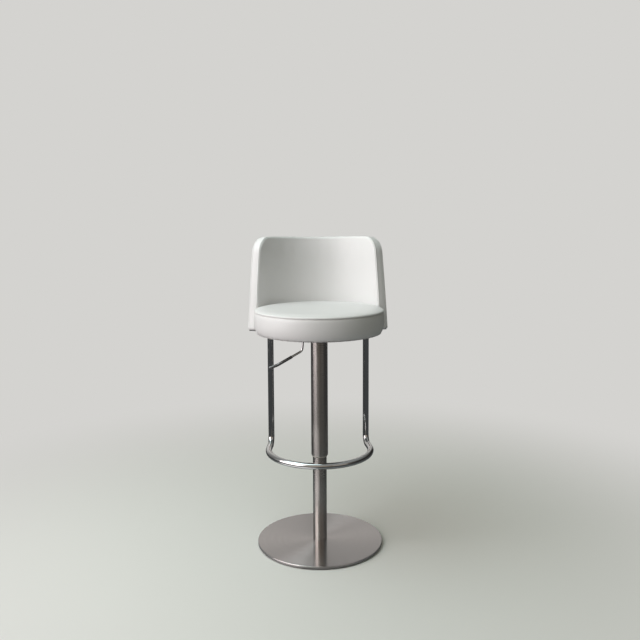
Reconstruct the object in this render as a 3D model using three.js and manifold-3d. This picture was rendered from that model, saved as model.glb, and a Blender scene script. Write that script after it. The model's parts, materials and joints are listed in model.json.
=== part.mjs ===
import * as THREE from 'three';
import { mergeVertices } from 'three/addons/utils/BufferGeometryUtils.js';
import Module from 'manifold-3d';

// A counter stool on a gas lift: a round seat inside a wrap-round back, a footrest hung
// from the seat, and a telescoping column on a heavy disc.
// Millimetres, +Z up. The origin is where the column's axis meets the floor, and the
// sitter faces -Y. The seat is drawn at the top of the lift's stroke.

const wasm = await Module();
wasm.setup();

// Clearances
const faceGap = 0.3;
const runningGap = 0.3;
const softGap = 2;
const cutOverrun = 3;

// Base disc, from the floor up
const baseRadius = 225;
const weightPlateInset = 5;
const weightPlateRadius = baseRadius - weightPlateInset;
const weightPlateThickness = 5.1;
const floorPadInset = 8;
const floorPadRadius = weightPlateRadius - floorPadInset;
const floorPadThickness = 5;
const baseSkin = 1.5;
const baseRimRound = 2.4;
const baseRimClearance = 5;

// Column and the plug that bolts it to the base
const columnRadius = 25;
const columnWall = 2;
const columnTopHeight = 480;
const studRadius = 10;
const studHoleClearance = 0.6;
const footBodyLength = 34;
const footCupRadius = 12;
const footCupDepth = 18;
const washerRadius = 18;
const washerThickness = 1.2;
const nutAcrossFlats = 30;
const nutThickness = 3.6;
const nutRecessClearance = 4;
const nutRecessRadius = washerRadius + nutRecessClearance;
const studEndClearance = 0.5;
const counterboreDepth = 2.1;

// Plastic bush that guides the gas cylinder in the column's mouth
const guideBushLength = 60;
const guideBushLip = 4;

// Piston rod, its thrust bearing and its clip
const rodRadius = 5;
const bearingPlateThickness = 6;
const raceThickness = 2;
const raceRadius = 14;
const ballCageThickness = 3.4;
const ballCageRadius = 13;
const ballCount = 8;
const rodShoulderRadius = 8;
const rodShoulderHeight = 6;
const rodNeckDepth = 1;
const rodNeckRadius = rodRadius - rodNeckDepth;
const rodNeckHeight = 1.8;
const rodClipThickness = 1.2;
const rodClipRadius = 9;
const rodClipMouth = 6;
const rodEndBelowPlate = 12;
const rodNeckBelowPlate = 5;
const pistonHeight = 14;
const pistonSpigotShoulder = 1.5;
const pistonSpigotRadius = rodRadius - pistonSpigotShoulder;
const pistonGroove = 1.4;
const pistonStandoff = 7;

// Gas cylinder
const cylinderRadius = 14;
const cylinderWall = 1.5;
const cylinderBottomHeight = 330;
const cylinderHeadLength = 26;
const cylinderTaper = 1.2;
const endGuideLength = 14;
const pistonTopHeight = cylinderBottomHeight + endGuideLength + pistonStandoff + pistonHeight;
const valveBoreRadius = 4.5;
const valveBoreDepth = 12;
const valveButtonRadius = 4;
const valveButtonLength = 12;
const valveButtonRise = 4.6;
const valveButtonDome = 1;

// Cover tube that hangs from the seat and slides over the column
const coverWall = 1.5;
const coverLength = 418;
const coverEndRound = 3;
const coverGuideWall = 2.9;
const coverBore = columnRadius + runningGap + coverGuideWall + faceGap;
const coverRadius = coverBore + coverWall;
const coverGuideLength = 26;
const coverGuideLip = 3.4;
const coverCollarLength = 22;

// Seat plate with its pressed pan and the tapered hub
const seatUndersideHeight = 767.5;
const plateWidth = 150;
const plateCornerRadius = 18;
const plateThickness = 3;
const panMouthRadius = 52;
const panFloorRadius = 47;
const panDepth = 26;
const panWall = 2.5;
const panFillet = 5;
const plateHoleInset = 16;
const plateHolePitch = plateWidth - 2 * plateHoleInset;
const hubRadius = 20;
const hubLength = 43;

// Lever
const leverRodRadius = 4;
const leverDepth = 9.5;
const leverPivotOffset = 33;
const leverInnerEnd = 5;
const leverPanClearance = 0.5;
const leverShoulderOffset = panMouthRadius + leverPanClearance + leverRodRadius;
const leverKneeReach = 8;
const leverKneeOffset = leverShoulderOffset + leverKneeReach;
const leverKneeDrop = 73.5;
const leverHandReach = 85.5;
const leverHandOffset = leverKneeOffset + leverHandReach;
const leverHandFall = 50.5;
const leverHandDrop = leverKneeDrop + leverHandFall;
const leverTipReach = 26;
const leverTipOffset = leverHandOffset + leverTipReach;
const leverTipFall = 9.5;
const leverTipDrop = leverHandDrop + leverTipFall;
const leverShoulderBend = 12;
const leverKneeBend = 13;
const leverHandBend = 60;
const gripRadius = 5.7;
const gripStartReach = 34.5;
const gripStartOffset = leverKneeOffset + gripStartReach;
const gripEndCap = 2.4;
const gripTipOverhang = 3.5;
const gripTipOffset = leverTipOffset + gripTipOverhang;
const leverPinRadius = 2.5;
const leverPinOverhang = 3;
const leverSideClearance = 2;
const cradleWidth = 10;
const cradleSheet = 2;
const cradleInside = 2 * (leverRodRadius + leverSideClearance);
const cradleOutside = cradleInside + 2 * cradleSheet;
const cradleEarRise = 4;
const leverPinLength = cradleOutside + 2 * leverPinOverhang;
const leverSlotClearance = 1.5;
const leverSlotWidth = 2 * (leverRodRadius + leverSlotClearance);
const leverSlotHeight = 17;

// Seat
const seatRadius = 236;
const liningInset = 10;
const liningRadius = seatRadius - liningInset;
const liningThickness = 3.8;
const seatBoardInset = 18;
const seatBoardRadius = seatRadius - seatBoardInset;
const seatBoardThickness = 12;
const seatPipingLevel = 79.8;
const seatPipingInset = 4;
const pipingRadius = 2.4;
const seatCrown = 7;

// Footrest
const footTubeRadius = 11;
const footTubeWall = 1.5;
const uprightInset = 43;
const uprightHalfSpacing = seatBoardRadius - uprightInset;
const uprightSetback = 82;
const footRingOverhang = 8;
const footRingRadius = uprightHalfSpacing + footRingOverhang;
const footRingHeight = 343;
const uprightBendRadius = 30;
const footFlangeLength = 66;
const footFlangeWidth = 42;
const footFlangeThickness = 4;
const footFlangeCorner = 8;
const footFlangeHoleInset = 9;
const footFlangeHolePitch = footFlangeLength - 2 * footFlangeHoleInset;

// Screws
const screwRadius = 2.5;
const screwHoleRadius = 3;
const screwHeadRadius = 4.8;
const screwHeadHeight = 2.6;
const seatScrewCover = 2;
const seatScrewReach = seatBoardThickness - seatScrewCover;

// Back, and the brackets that carry it
const backInnerRadius = seatRadius + softGap;
const backFrontFoam = 8.4;
const backBoardThickness = 9;
const backBoardInset = 20;
const bracketWidth = 40;
const bracketThickness = 4;
const bracketHeadClearance = 0.8;
const backCoverThickness = 4.6;
const backBottomDrop = 0.5;
const backHeight = 341;
const wingFrontAtBottom = 72;
const wingFrontAtTop = 108;
const backTopCorner = 56;
const backBottomCorner = 9;
const backLiningThickness = 2.5;
const backLiningInset = 2.5;
const backLiningSlotMargin = 1;
const backPipingInset = 1.6;
const bracketJoggle = 7;
const bracketJoggleEnd = backInnerRadius - softGap;
const bracketReach = 71;
const bracketInnerEnd = bracketJoggleEnd - bracketReach;
const bracketHoleInset = 17;
const bracketHolePitch = 30;
const bracketSeatScrewOffsets = [0, 1].map((i) =>
  bracketInnerEnd + bracketHoleInset + i * bracketHolePitch);
const bracketBend = 3;
const bracketRise = 88;
const bracketTopHoleDrop = 22;
const bracketRiseHolePitch = 36;
const bracketBackScrewHeights = [1, 0].map((i) =>
  bracketRise - bracketTopHoleDrop - i * bracketRiseHolePitch);

// Angles, counts and shares
const innerSegments = 20;
const tubeSegments = 32;
const discSegments = 52;
const plateSegments = 40;
const seatSegments = 44;
const screwSegments = 6;
const valveButtonSegments = 12;
const tubeSides = 10;
const pipingSides = 6;
const leverSides = 8;
const pinSides = 12;
const coverTuckAngle = THREE.MathUtils.degToRad(60);
const bendStepAngle = THREE.MathUtils.degToRad(12);
const bracketSpreadAngle = THREE.MathUtils.degToRad(32);
const seatGrooveStartAngle = THREE.MathUtils.degToRad(-81);
const seatGrooveEndAngle = THREE.MathUtils.degToRad(-234);
const backColumns = 24;
const backRows = 6;
const backCornerSteps = 2;
const grooveSteps = 3;
const halfTurn = Math.PI;
const quarterTurn = Math.PI / 2;
const fullTurn = 2 * Math.PI;
const bracketAngles = [-1, 1].map((side) => quarterTurn + side * bracketSpreadAngle);

// Materials, as the finishes look
const finish = (color, roughness, metalness) =>
  new THREE.MeshStandardMaterial({ color, roughness, metalness });
const brushedSteel = finish('#b9b5b0', 0.34, 1);
const polishedSteel = finish('#cfcdc9', 0.12, 1);
const groundSteel = finish('#9a9a98', 0.3, 1);
const zincSteel = finish('#a9abad', 0.42, 1);
const castIron = finish('#3d3c3a', 0.7, 0.6);
const blackEnamel = finish('#1c1c1d', 0.45, 0.2);
const blackFelt = finish('#161616', 0.95, 0);
const greyNylon = finish('#c9c8c4', 0.5, 0);
const blackNylon = finish('#222223', 0.5, 0);
const glossGrip = finish('#3a3a3c', 0.18, 0);
const plywood = finish('#c2a073', 0.7, 0);
const whiteLeatherette = finish('#e9e8e6', 0.45, 0);
const whitePiping = finish('#e3e2df', 0.5, 0);

// Closed meshes: shared vertices merged, collapsed triangles left out
function closed(geometry) {
  const bare = new THREE.BufferGeometry();
  bare.setAttribute('position', geometry.getAttribute('position').clone());
  if (geometry.index) bare.setIndex(geometry.index.clone());
  const merged = mergeVertices(bare);
  const corners = merged.index.array;
  const kept = [];
  for (let i = 0; i < corners.length; i += 3) {
    const [a, b, c] = [corners[i], corners[i + 1], corners[i + 2]];
    if (a !== b && b !== c && c !== a) kept.push(a, b, c);
  }
  merged.setIndex(kept);
  return merged;
}

function toSolid(geometry) {
  const mesh = closed(geometry);
  return new wasm.Manifold(new wasm.Mesh({
    numProp: 3,
    vertProperties: new Float32Array(mesh.getAttribute('position').array),
    triVerts: new Uint32Array(mesh.index.array),
  }));
}

function toGeometry(solid) {
  const mesh = solid.getMesh();
  const geometry = new THREE.BufferGeometry();
  geometry.setAttribute('position', new THREE.BufferAttribute(mesh.vertProperties, mesh.numProp));
  geometry.setIndex(new THREE.BufferAttribute(mesh.triVerts, 1));
  return geometry;
}

function cutAway(geometry, ...tools) {
  return toGeometry(tools.reduce((left, tool) => left.subtract(toSolid(tool)), toSolid(geometry)));
}

function joined(geometry, ...others) {
  return toGeometry(others.reduce((sum, other) => sum.add(toSolid(other)), toSolid(geometry)));
}

// A turned piece: the profile's [radius, height] points closed around the Z axis
function turned(profile, segments = innerSegments) {
  let area = 0;
  profile.forEach(([r, z], i) => {
    const [nextR, nextZ] = profile[(i + 1) % profile.length];
    area += r * nextZ - nextR * z;
  });
  const ordered = area > 0 ? profile : [...profile].reverse();
  const ring = [...ordered, ordered[0]].map(([r, z]) => new THREE.Vector2(r, z));
  const geometry = new THREE.LatheGeometry(ring, segments);
  geometry.rotateX(quarterTurn);
  return closed(geometry);
}

const disc = (radius, bottom, top, segments) =>
  turned([[0, bottom], [radius, bottom], [radius, top], [0, top]], segments);

const ring = (inner, outer, bottom, top, segments) =>
  turned([[inner, bottom], [outer, bottom], [outer, top], [inner, top]], segments);

// Points of a round corner from angle to angle about a centre, ends included
function arc(centreX, centreY, radius, from, to, steps) {
  return Array.from({ length: steps + 1 }, (_, i) => {
    const angle = from + ((to - from) * i) / steps;
    return [centreX + radius * Math.cos(angle), centreY + radius * Math.sin(angle)];
  });
}

// A flat plate with round corners, from height 0 up, in the XY plane
function plate(width, length, thickness, corner) {
  const x = width / 2 - corner;
  const y = length / 2 - corner;
  const steps = 3;
  const points = [
    ...arc(x, y, corner, 0, quarterTurn, steps),
    ...arc(-x, y, corner, quarterTurn, halfTurn, steps),
    ...arc(-x, -y, corner, halfTurn, halfTurn + quarterTurn, steps),
    ...arc(x, -y, corner, -quarterTurn, 0, steps),
  ].map(([px, py]) => new THREE.Vector2(px, py));
  return new THREE.ExtrudeGeometry(new THREE.Shape(points), { depth: thickness, bevelEnabled: false });
}

function block(width, length, height, centreX, centreY, bottom) {
  const geometry = new THREE.BoxGeometry(width, length, height);
  return geometry.translate(centreX, centreY, bottom + height / 2);
}

function drill(radius, bottom, top, x = 0, y = 0) {
  return disc(radius, bottom, top, screwSegments).translate(x, y, 0);
}

// A path through given points, each section square to the bisector there
class StationPath extends THREE.Curve {
  constructor(points) {
    super();
    this.points = points;
  }

  index(u) {
    return Math.round(u * (this.points.length - 1));
  }

  getPointAt(u, target = new THREE.Vector3()) {
    return target.copy(this.points[this.index(u)]);
  }

  getTangentAt(u, target = new THREE.Vector3()) {
    const i = this.index(u);
    const here = this.points[i];
    const back = i > 0 ? here.clone().sub(this.points[i - 1]).normalize() : new THREE.Vector3();
    const last = this.points.length - 1;
    const ahead = i < last ? this.points[i + 1].clone().sub(here).normalize() : new THREE.Vector3();
    return target.copy(back.add(ahead).normalize());
  }
}

// The centreline of a bent tube: straight runs between corners, each corner an arc
function bentLine(corners, radii) {
  const points = [corners[0].clone()];
  for (let i = 1; i < corners.length - 1; i += 1) {
    const before = corners[i].clone().sub(corners[i - 1]).normalize();
    const after = corners[i + 1].clone().sub(corners[i]).normalize();
    const turn = before.angleTo(after);
    const radius = radii[i - 1];
    const start = corners[i].clone().addScaledVector(before, -radius * Math.tan(turn / 2));
    const inward = after.clone().addScaledVector(before, -Math.cos(turn)).normalize();
    const steps = Math.ceil(turn / bendStepAngle);
    for (let k = 0; k <= steps; k += 1) {
      const angle = (turn * k) / steps;
      const point = start.clone().addScaledVector(before, radius * Math.sin(angle));
      points.push(point.addScaledVector(inward, radius * (1 - Math.cos(angle))));
    }
  }
  points.push(corners[corners.length - 1].clone());
  return points.filter((point, i) => i === 0 || point.distanceTo(points[i - 1]) > faceGap);
}

const circle = (radius, sides) => arc(0, 0, radius, 0, fullTurn, sides)
  .slice(0, -1).map(([x, y]) => new THREE.Vector2(x, y));

function sweep(points, radius, sides, boreRadius = 0) {
  const section = new THREE.Shape(circle(radius, sides));
  if (boreRadius > 0) section.holes.push(new THREE.Path(circle(boreRadius, sides).reverse()));
  const path = new StationPath(points);
  return new THREE.ExtrudeGeometry(section, { steps: points.length - 1, extrudePath: path });
}

// The model and its groups, each at a natural level of the stool
const stool = new THREE.Group();
const seatGroup = new THREE.Group();
seatGroup.position.z = seatUndersideHeight;
const leverGroup = new THREE.Group();
stool.add(seatGroup);
seatGroup.add(leverGroup);

function piece(group, name, geometry, material, x = 0, y = 0, z = 0) {
  const mesh = new THREE.Mesh(closed(geometry), material);
  mesh.name = name;
  mesh.position.set(x, y, z);
  group.add(mesh);
  return mesh;
}

// Levels of the base
const weightPlateBottom = floorPadThickness + faceGap;
const skinUnderside = weightPlateBottom + weightPlateThickness + faceGap;
const baseTop = skinUnderside + baseSkin;
const studHoleRadius = studRadius + studHoleClearance;
const washerTop = weightPlateBottom + counterboreDepth - faceGap;
const nutTop = washerTop - washerThickness - faceGap;
const studBottom = nutTop - nutThickness;

function makeBase() {
  const pad = disc(floorPadRadius, 0, floorPadThickness, plateSegments);
  const padRecess = disc(nutRecessRadius, studBottom - studEndClearance, floorPadThickness + cutOverrun);
  piece(stool, 'floor_pad', cutAway(pad, padRecess), blackFelt);

  const plateHole = studHoleRadius;
  const weight = turned([
    [plateHole, counterboreDepth], [nutRecessRadius, counterboreDepth], [nutRecessRadius, 0],
    [weightPlateRadius, 0], [weightPlateRadius, weightPlateThickness],
    [plateHole, weightPlateThickness],
  ], plateSegments);
  piece(stool, 'base_weight_plate', weight, castIron, 0, 0, weightPlateBottom);

  const innerRound = baseRimRound - baseSkin;
  const rimCentre = baseRadius - baseRimRound;
  const roundLevel = baseTop - baseRimRound;
  const skin = turned([
    [studHoleRadius, baseTop],
    ...arc(rimCentre, roundLevel, baseRimRound, quarterTurn, 0, 3),
    [baseRadius, baseRimClearance], [baseRadius - baseSkin, baseRimClearance],
    ...arc(rimCentre, roundLevel, innerRound, 0, quarterTurn, 1),
    [studHoleRadius, skinUnderside],
  ], discSegments);
  piece(stool, 'base_cover', skin, brushedSteel);
}

// Levels inside the column
const columnBore = columnRadius - columnWall;
const columnBottom = baseTop + faceGap;
const footTop = columnBottom + footBodyLength;
const bearingPlateBottom = footTop + faceGap;
const bearingPlateTop = bearingPlateBottom + bearingPlateThickness;
const lowerRaceBottom = bearingPlateTop + faceGap;
const cageBottom = lowerRaceBottom + raceThickness + faceGap;
const upperRaceBottom = cageBottom + ballCageThickness + faceGap;
const rodShoulderBottom = upperRaceBottom + raceThickness + faceGap;

function hexagon(acrossFlats) {
  const cornerRadius = acrossFlats / 2 / Math.cos(fullTurn / 12);
  return circle(cornerRadius, 6);
}

function makeColumn() {
  piece(stool, 'column_tube',
    ring(columnBore, columnRadius, columnBottom, columnTopHeight, tubeSegments), brushedSteel);

  const footRadius = columnBore - faceGap;
  const foot = turned([
    [0, studBottom], [studRadius, studBottom], [studRadius, columnBottom],
    [footRadius, columnBottom], [footRadius, footTop], [footCupRadius, footTop],
    [footCupRadius, footTop - footCupDepth], [0, footTop - footCupDepth],
  ]);
  piece(stool, 'column_foot', foot, zincSteel);
  piece(stool, 'base_washer',
    ring(studRadius + faceGap, washerRadius, 0, washerThickness), zincSteel,
    0, 0, washerTop - washerThickness);

  const nutShape = new THREE.Shape(hexagon(nutAcrossFlats));
  nutShape.holes.push(new THREE.Path(circle(studRadius + faceGap, innerSegments).reverse()));
  piece(stool, 'base_nut',
    new THREE.ExtrudeGeometry(nutShape, { depth: nutThickness, bevelEnabled: false }),
    zincSteel, 0, 0, studBottom);

  const bushInner = cylinderRadius + runningGap;
  const bushTop = guideBushLength + guideBushLip;
  const bush = turned([
    [bushInner, 0], [columnBore - faceGap, 0], [columnBore - faceGap, guideBushLength],
    [columnRadius, guideBushLength], [columnRadius - guideBushLip / 2, bushTop], [bushInner, bushTop],
  ]);
  piece(stool, 'column_guide_bush', bush, blackNylon,
    0, 0, columnTopHeight + faceGap - guideBushLength);

  const rodHole = rodRadius + runningGap;
  piece(stool, 'bearing_plate',
    ring(rodHole, footRadius, bearingPlateBottom, bearingPlateTop), zincSteel);
  piece(stool, 'lower_race',
    ring(rodHole, raceRadius, lowerRaceBottom, lowerRaceBottom + raceThickness), groundSteel);
}

function ballCage() {
  const cageInner = rodRadius + runningGap;
  const ballRadius = ballCageThickness / 2;
  const waist = ballCageThickness / 4;
  const pitch = (cageInner + ballCageRadius) / 2;
  const balls = Array.from({ length: ballCount }, (_, i) => {
    const angle = (fullTurn * i) / ballCount;
    return new THREE.OctahedronGeometry(ballRadius, 1)
      .translate(pitch * Math.cos(angle), pitch * Math.sin(angle), ballRadius);
  });
  return joined(ring(cageInner, ballCageRadius, waist, ballCageThickness - waist), ...balls);
}

function makeRod() {
  const bottom = bearingPlateBottom - rodEndBelowPlate;
  const neckTop = bearingPlateBottom - rodNeckBelowPlate;
  const neckBottom = neckTop - rodNeckHeight;
  const shoulderTop = rodShoulderBottom + rodShoulderHeight;
  const spigotBottom = pistonTopHeight - pistonHeight - faceGap;
  const rod = turned([
    [0, bottom], [rodRadius, bottom], [rodRadius, neckBottom], [rodNeckRadius, neckBottom],
    [rodNeckRadius, neckTop], [rodRadius, neckTop], [rodRadius, rodShoulderBottom],
    [rodShoulderRadius, rodShoulderBottom], [rodShoulderRadius, shoulderTop],
    [rodRadius, shoulderTop], [rodRadius, spigotBottom], [pistonSpigotRadius, spigotBottom],
    [pistonSpigotRadius, pistonTopHeight], [0, pistonTopHeight],
  ]);
  piece(stool, 'piston_rod', rod, groundSteel);

  const pistonInner = pistonSpigotRadius + faceGap;
  const pistonOuter = cylinderRadius - cylinderWall - runningGap;
  const grooveFrom = (pistonHeight - pistonGroove) / 2;
  const piston = turned([
    [pistonInner, 0], [pistonOuter, 0], [pistonOuter, grooveFrom],
    [pistonOuter - pistonGroove, grooveFrom], [pistonOuter - pistonGroove, grooveFrom + pistonGroove],
    [pistonOuter, grooveFrom + pistonGroove], [pistonOuter, pistonHeight], [pistonInner, pistonHeight],
  ]);
  piece(stool, 'piston', piston, blackNylon, 0, 0, pistonTopHeight - pistonHeight);

  piece(stool, 'thrust_bearing', ballCage(), groundSteel, 0, 0, cageBottom);
  piece(stool, 'upper_race',
    ring(rodRadius + faceGap, raceRadius, 0, raceThickness), groundSteel, 0, 0, upperRaceBottom);

  const clipInner = rodNeckRadius + faceGap;
  const clip = cutAway(
    ring(clipInner, rodClipRadius, 0, rodClipThickness),
    block(rodClipMouth, rodClipRadius + cutOverrun, rodClipThickness + cutOverrun,
      0, -(rodClipRadius + cutOverrun) / 2, -cutOverrun / 2),
  );
  const clipBottom = neckBottom + (rodNeckHeight - rodClipThickness) / 2;
  piece(stool, 'rod_clip', clip, zincSteel, 0, 0, clipBottom);
}

// Levels under the seat, measured from its underside
const plateTop = -faceGap;
const leverLevel = -leverDepth;
const buttonTop = leverLevel - leverRodRadius - faceGap;
const cylinderTop = buttonTop - valveButtonRise;
const hubTop = cylinderTop - runningGap;
const panBottom = plateTop - panDepth;
const coverTop = panBottom - faceGap;
const coverBottom = coverTop - coverLength;
const cylinderBottom = cylinderBottomHeight - seatUndersideHeight;

function makeLift() {
  const bore = cylinderRadius - cylinderWall;
  const headBottom = cylinderTop - cylinderHeadLength;
  const cylinder = turned([
    [bore, cylinderBottom], [cylinderRadius, cylinderBottom], [cylinderRadius, headBottom],
    [cylinderRadius - cylinderTaper, cylinderTop], [valveBoreRadius, cylinderTop],
    [valveBoreRadius, cylinderTop - valveBoreDepth], [0, cylinderTop - valveBoreDepth],
    [0, headBottom], [bore, headBottom],
  ]);
  piece(seatGroup, 'gas_cylinder', cylinder, blackEnamel);
  piece(seatGroup, 'cylinder_end_guide',
    ring(rodRadius + runningGap, bore - faceGap, 0, endGuideLength), greyNylon, 0, 0, cylinderBottom);

  const buttonShoulder = valveButtonLength - valveButtonDome;
  const button = turned([
    [0, 0], [valveButtonRadius, 0], [valveButtonRadius, buttonShoulder],
    [valveButtonRadius / 2, valveButtonLength - valveButtonDome / 4], [0, valveButtonLength],
  ], valveButtonSegments);
  piece(seatGroup, 'valve_button', button, blackNylon, 0, 0, buttonTop - valveButtonLength);

  const roundCentre = coverRadius - coverEndRound;
  const roundLevel = coverBottom + coverEndRound;
  const tuckRadius = coverEndRound - coverWall;
  const cover = turned([
    [coverRadius, coverTop],
    ...arc(roundCentre, roundLevel, coverEndRound, 0, -coverTuckAngle, 3),
    ...arc(roundCentre, roundLevel, tuckRadius, -coverTuckAngle, 0, 1),
    [coverBore, coverTop],
  ], tubeSegments);
  piece(seatGroup, 'cover_tube', cover, brushedSteel);

  const guideInner = columnRadius + runningGap;
  const guideBottom = coverBottom - coverGuideLip;
  const mouth = roundCentre + tuckRadius * Math.cos(coverTuckAngle) - faceGap;
  const shoulder = roundLevel + coverEndRound;
  const guide = turned([
    [guideInner, guideBottom], [mouth, guideBottom], [mouth, roundLevel],
    [coverBore - faceGap, shoulder], [coverBore - faceGap, coverBottom + coverGuideLength],
    [guideInner, coverBottom + coverGuideLength],
  ], tubeSegments);
  piece(seatGroup, 'cover_guide_ring', guide, greyNylon);

  piece(seatGroup, 'cover_collar',
    ring(hubRadius + faceGap, coverBore - faceGap, 0, coverCollarLength, tubeSegments), blackNylon,
    0, 0, coverTop - coverCollarLength);
}

// Where the screws under the seat go, in the seat's plan
const squareCorners = [[-1, -1], [1, -1], [1, 1], [-1, 1]];
const plateScrews = squareCorners.map(([x, y]) => [x * plateHolePitch / 2, y * plateHolePitch / 2]);
const flangeScrews = squareCorners.map(([x, y]) =>
  [x * uprightHalfSpacing, uprightSetback + y * footFlangeHolePitch / 2]);
const bracketScrews = bracketAngles.flatMap((angle) =>
  bracketSeatScrewOffsets.map((offset) => [offset * Math.cos(angle), offset * Math.sin(angle)]));
const seatScrews = [...plateScrews, ...flangeScrews, ...bracketScrews];

function makeSeatPlate() {
  const mouthWall = panMouthRadius - panWall;
  const floorTop = panBottom + panWall;
  const hubHole = hubRadius + faceGap;
  const sheet = plate(plateWidth, plateWidth, plateThickness, plateCornerRadius)
    .translate(0, 0, plateTop - plateThickness);
  const mouth = disc(mouthWall, plateTop - plateThickness - cutOverrun, plateTop + cutOverrun,
    tubeSegments);
  const filletCentre = panFloorRadius - panFillet;
  const innerFillet = panFillet - panWall;
  const pan = turned([
    [hubHole, panBottom],
    ...arc(filletCentre, panBottom + panFillet, panFillet, -quarterTurn, 0, 2),
    [panMouthRadius, plateTop - plateThickness], [panMouthRadius, plateTop],
    [mouthWall, plateTop], [mouthWall, plateTop - plateThickness],
    ...arc(filletCentre, panBottom + panFillet, innerFillet, 0, -quarterTurn, 1),
    [hubHole, floorTop],
  ], tubeSegments);
  const slotTop = plateTop - plateThickness - faceGap;
  const slot = block(panMouthRadius, leverSlotWidth, leverSlotHeight,
    -panMouthRadius, 0, slotTop - leverSlotHeight);
  const holes = plateScrews.map(([x, y]) =>
    drill(screwHoleRadius, plateTop - plateThickness - cutOverrun, plateTop + cutOverrun, x, y));
  piece(seatGroup, 'seat_plate', cutAway(joined(cutAway(sheet, mouth), pan), slot, ...holes),
    blackEnamel);

  const hubBottomBore = cylinderRadius + runningGap;
  const hub = turned([
    [hubBottomBore, hubTop - hubLength], [hubRadius, hubTop - hubLength], [hubRadius, hubTop],
    [hubBottomBore - cylinderTaper, hubTop],
    [hubBottomBore, cylinderTop - cylinderHeadLength],
  ]);
  piece(seatGroup, 'taper_hub', hub, zincSteel);
}

// The lever, turning on its pin in a cradle on the pan's floor
const pinLevel = leverLevel - leverRodRadius - faceGap - leverPinRadius;

function makeLever() {
  const point = (offset, drop) => new THREE.Vector3(-offset, 0, -drop);
  const corners = [
    point(-leverInnerEnd, leverDepth), point(leverShoulderOffset, leverDepth),
    point(leverKneeOffset, leverKneeDrop), point(leverHandOffset, leverHandDrop),
    point(leverTipOffset, leverTipDrop),
  ];
  const radii = [leverShoulderBend, leverKneeBend, leverHandBend];
  const line = bentLine(corners, radii);
  piece(leverGroup, 'lever_rod', sweep(line, leverRodRadius, leverSides), polishedSteel);

  const gripLine = line.filter((at) => at.x < -gripStartOffset);
  const knee = corners[2];
  const hand = corners[3];
  const startShare = (gripStartOffset - leverKneeOffset) / (leverHandOffset - leverKneeOffset);
  const start = knee.clone().lerp(hand, startShare);
  const slope = (leverTipDrop - leverHandDrop) / (leverTipOffset - leverHandOffset);
  const tipDrop = leverTipDrop + slope * (gripTipOffset - leverTipOffset);
  const gripStations = [start, ...gripLine.slice(0, -1), point(gripTipOffset, tipDrop)];
  const open = sweep(gripStations, gripRadius, tubeSides);
  const rodCore = sweep([
    start.clone().addScaledVector(hand.clone().sub(knee).normalize(), -cutOverrun),
    ...gripLine.slice(0, -1),
    point(gripTipOffset - gripEndCap, tipDrop - slope * gripEndCap),
  ], leverRodRadius + faceGap, leverSides);
  piece(leverGroup, 'lever_grip', cutAway(open, rodCore), glossGrip);

  const pin = new THREE.CylinderGeometry(leverPinRadius, leverPinRadius, leverPinLength, pinSides);
  piece(leverGroup, 'lever_pin', pin, groundSteel, -leverPivotOffset, 0, pinLevel);

  const floor = panBottom + panWall + faceGap;
  const top = pinLevel + cradleEarRise;
  const channel = cutAway(
    block(cradleWidth, cradleOutside, top - floor, -leverPivotOffset, 0, floor),
    block(cradleWidth + cutOverrun, cradleInside, top - floor,
      -leverPivotOffset, 0, floor + cradleSheet),
    new THREE.CylinderGeometry(
      leverPinRadius + runningGap, leverPinRadius + runningGap, cradleOutside + cutOverrun, pinSides,
    ).translate(-leverPivotOffset, 0, pinLevel),
  );
  piece(seatGroup, 'lever_cradle', channel, zincSteel);
}

// The footrest: one tube, down both sides and round the front
function makeFootrest() {
  const flangeTop = -faceGap;
  const tubeTop = flangeTop - footFlangeThickness - faceGap;
  const ringLevel = footRingHeight - seatUndersideHeight;
  const cornerDistance = Math.hypot(uprightHalfSpacing, uprightSetback);
  const tangentAngle = Math.atan2(uprightSetback, uprightHalfSpacing)
    - Math.acos(footRingRadius / cornerDistance);
  const frontCornerX = footRingRadius * Math.tan((quarterTurn + tangentAngle) / 2);
  const corners = [
    [-uprightHalfSpacing, uprightSetback, tubeTop], [-uprightHalfSpacing, uprightSetback, ringLevel],
    [-frontCornerX, -footRingRadius, ringLevel], [frontCornerX, -footRingRadius, ringLevel],
    [uprightHalfSpacing, uprightSetback, ringLevel], [uprightHalfSpacing, uprightSetback, tubeTop],
  ].map(([x, y, z]) => new THREE.Vector3(x, y, z));
  const radii = [uprightBendRadius, footRingRadius, footRingRadius, uprightBendRadius];
  const tube = sweep(bentLine(corners, radii), footTubeRadius, tubeSides, footTubeRadius - footTubeWall);
  piece(seatGroup, 'footrest_tube', tube, polishedSteel);

  [['left', -1], ['right', 1]].forEach(([side, sign]) => {
    const holes = [-1, 1].map((end) => drill(screwHoleRadius, -cutOverrun,
      footFlangeThickness + cutOverrun, 0, end * footFlangeHolePitch / 2));
    const flange = cutAway(
      plate(footFlangeWidth, footFlangeLength, footFlangeThickness, footFlangeCorner), ...holes);
    piece(seatGroup, `footrest_flange_${side}`, flange, polishedSteel,
      sign * uprightHalfSpacing, uprightSetback, flangeTop - footFlangeThickness);
  });
}

function screw(length) {
  const taper = screwHeadHeight / 2;
  return turned([
    [0, -screwHeadHeight], [screwHeadRadius - taper, -screwHeadHeight], [screwHeadRadius, 0],
    [screwRadius, 0], [screwRadius, length], [0, length],
  ], screwSegments);
}

function makeSeatScrews() {
  const group = (names, places, metal) => places.forEach(([x, y], i) => {
    const level = plateTop - metal - faceGap;
    const length = -level + liningThickness + faceGap + seatScrewReach;
    piece(seatGroup, `${names}_${i + 1}`, screw(length), zincSteel, x, y, level);
  });
  group('plate_screw', plateScrews, plateThickness);
  group('flange_screw', flangeScrews, footFlangeThickness);
  group('bracket_screw', bracketScrews, bracketThickness);
}

// The seat, from its lining up
const boardBottom = liningThickness + faceGap;
const boardTop = boardBottom + seatBoardThickness;

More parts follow.
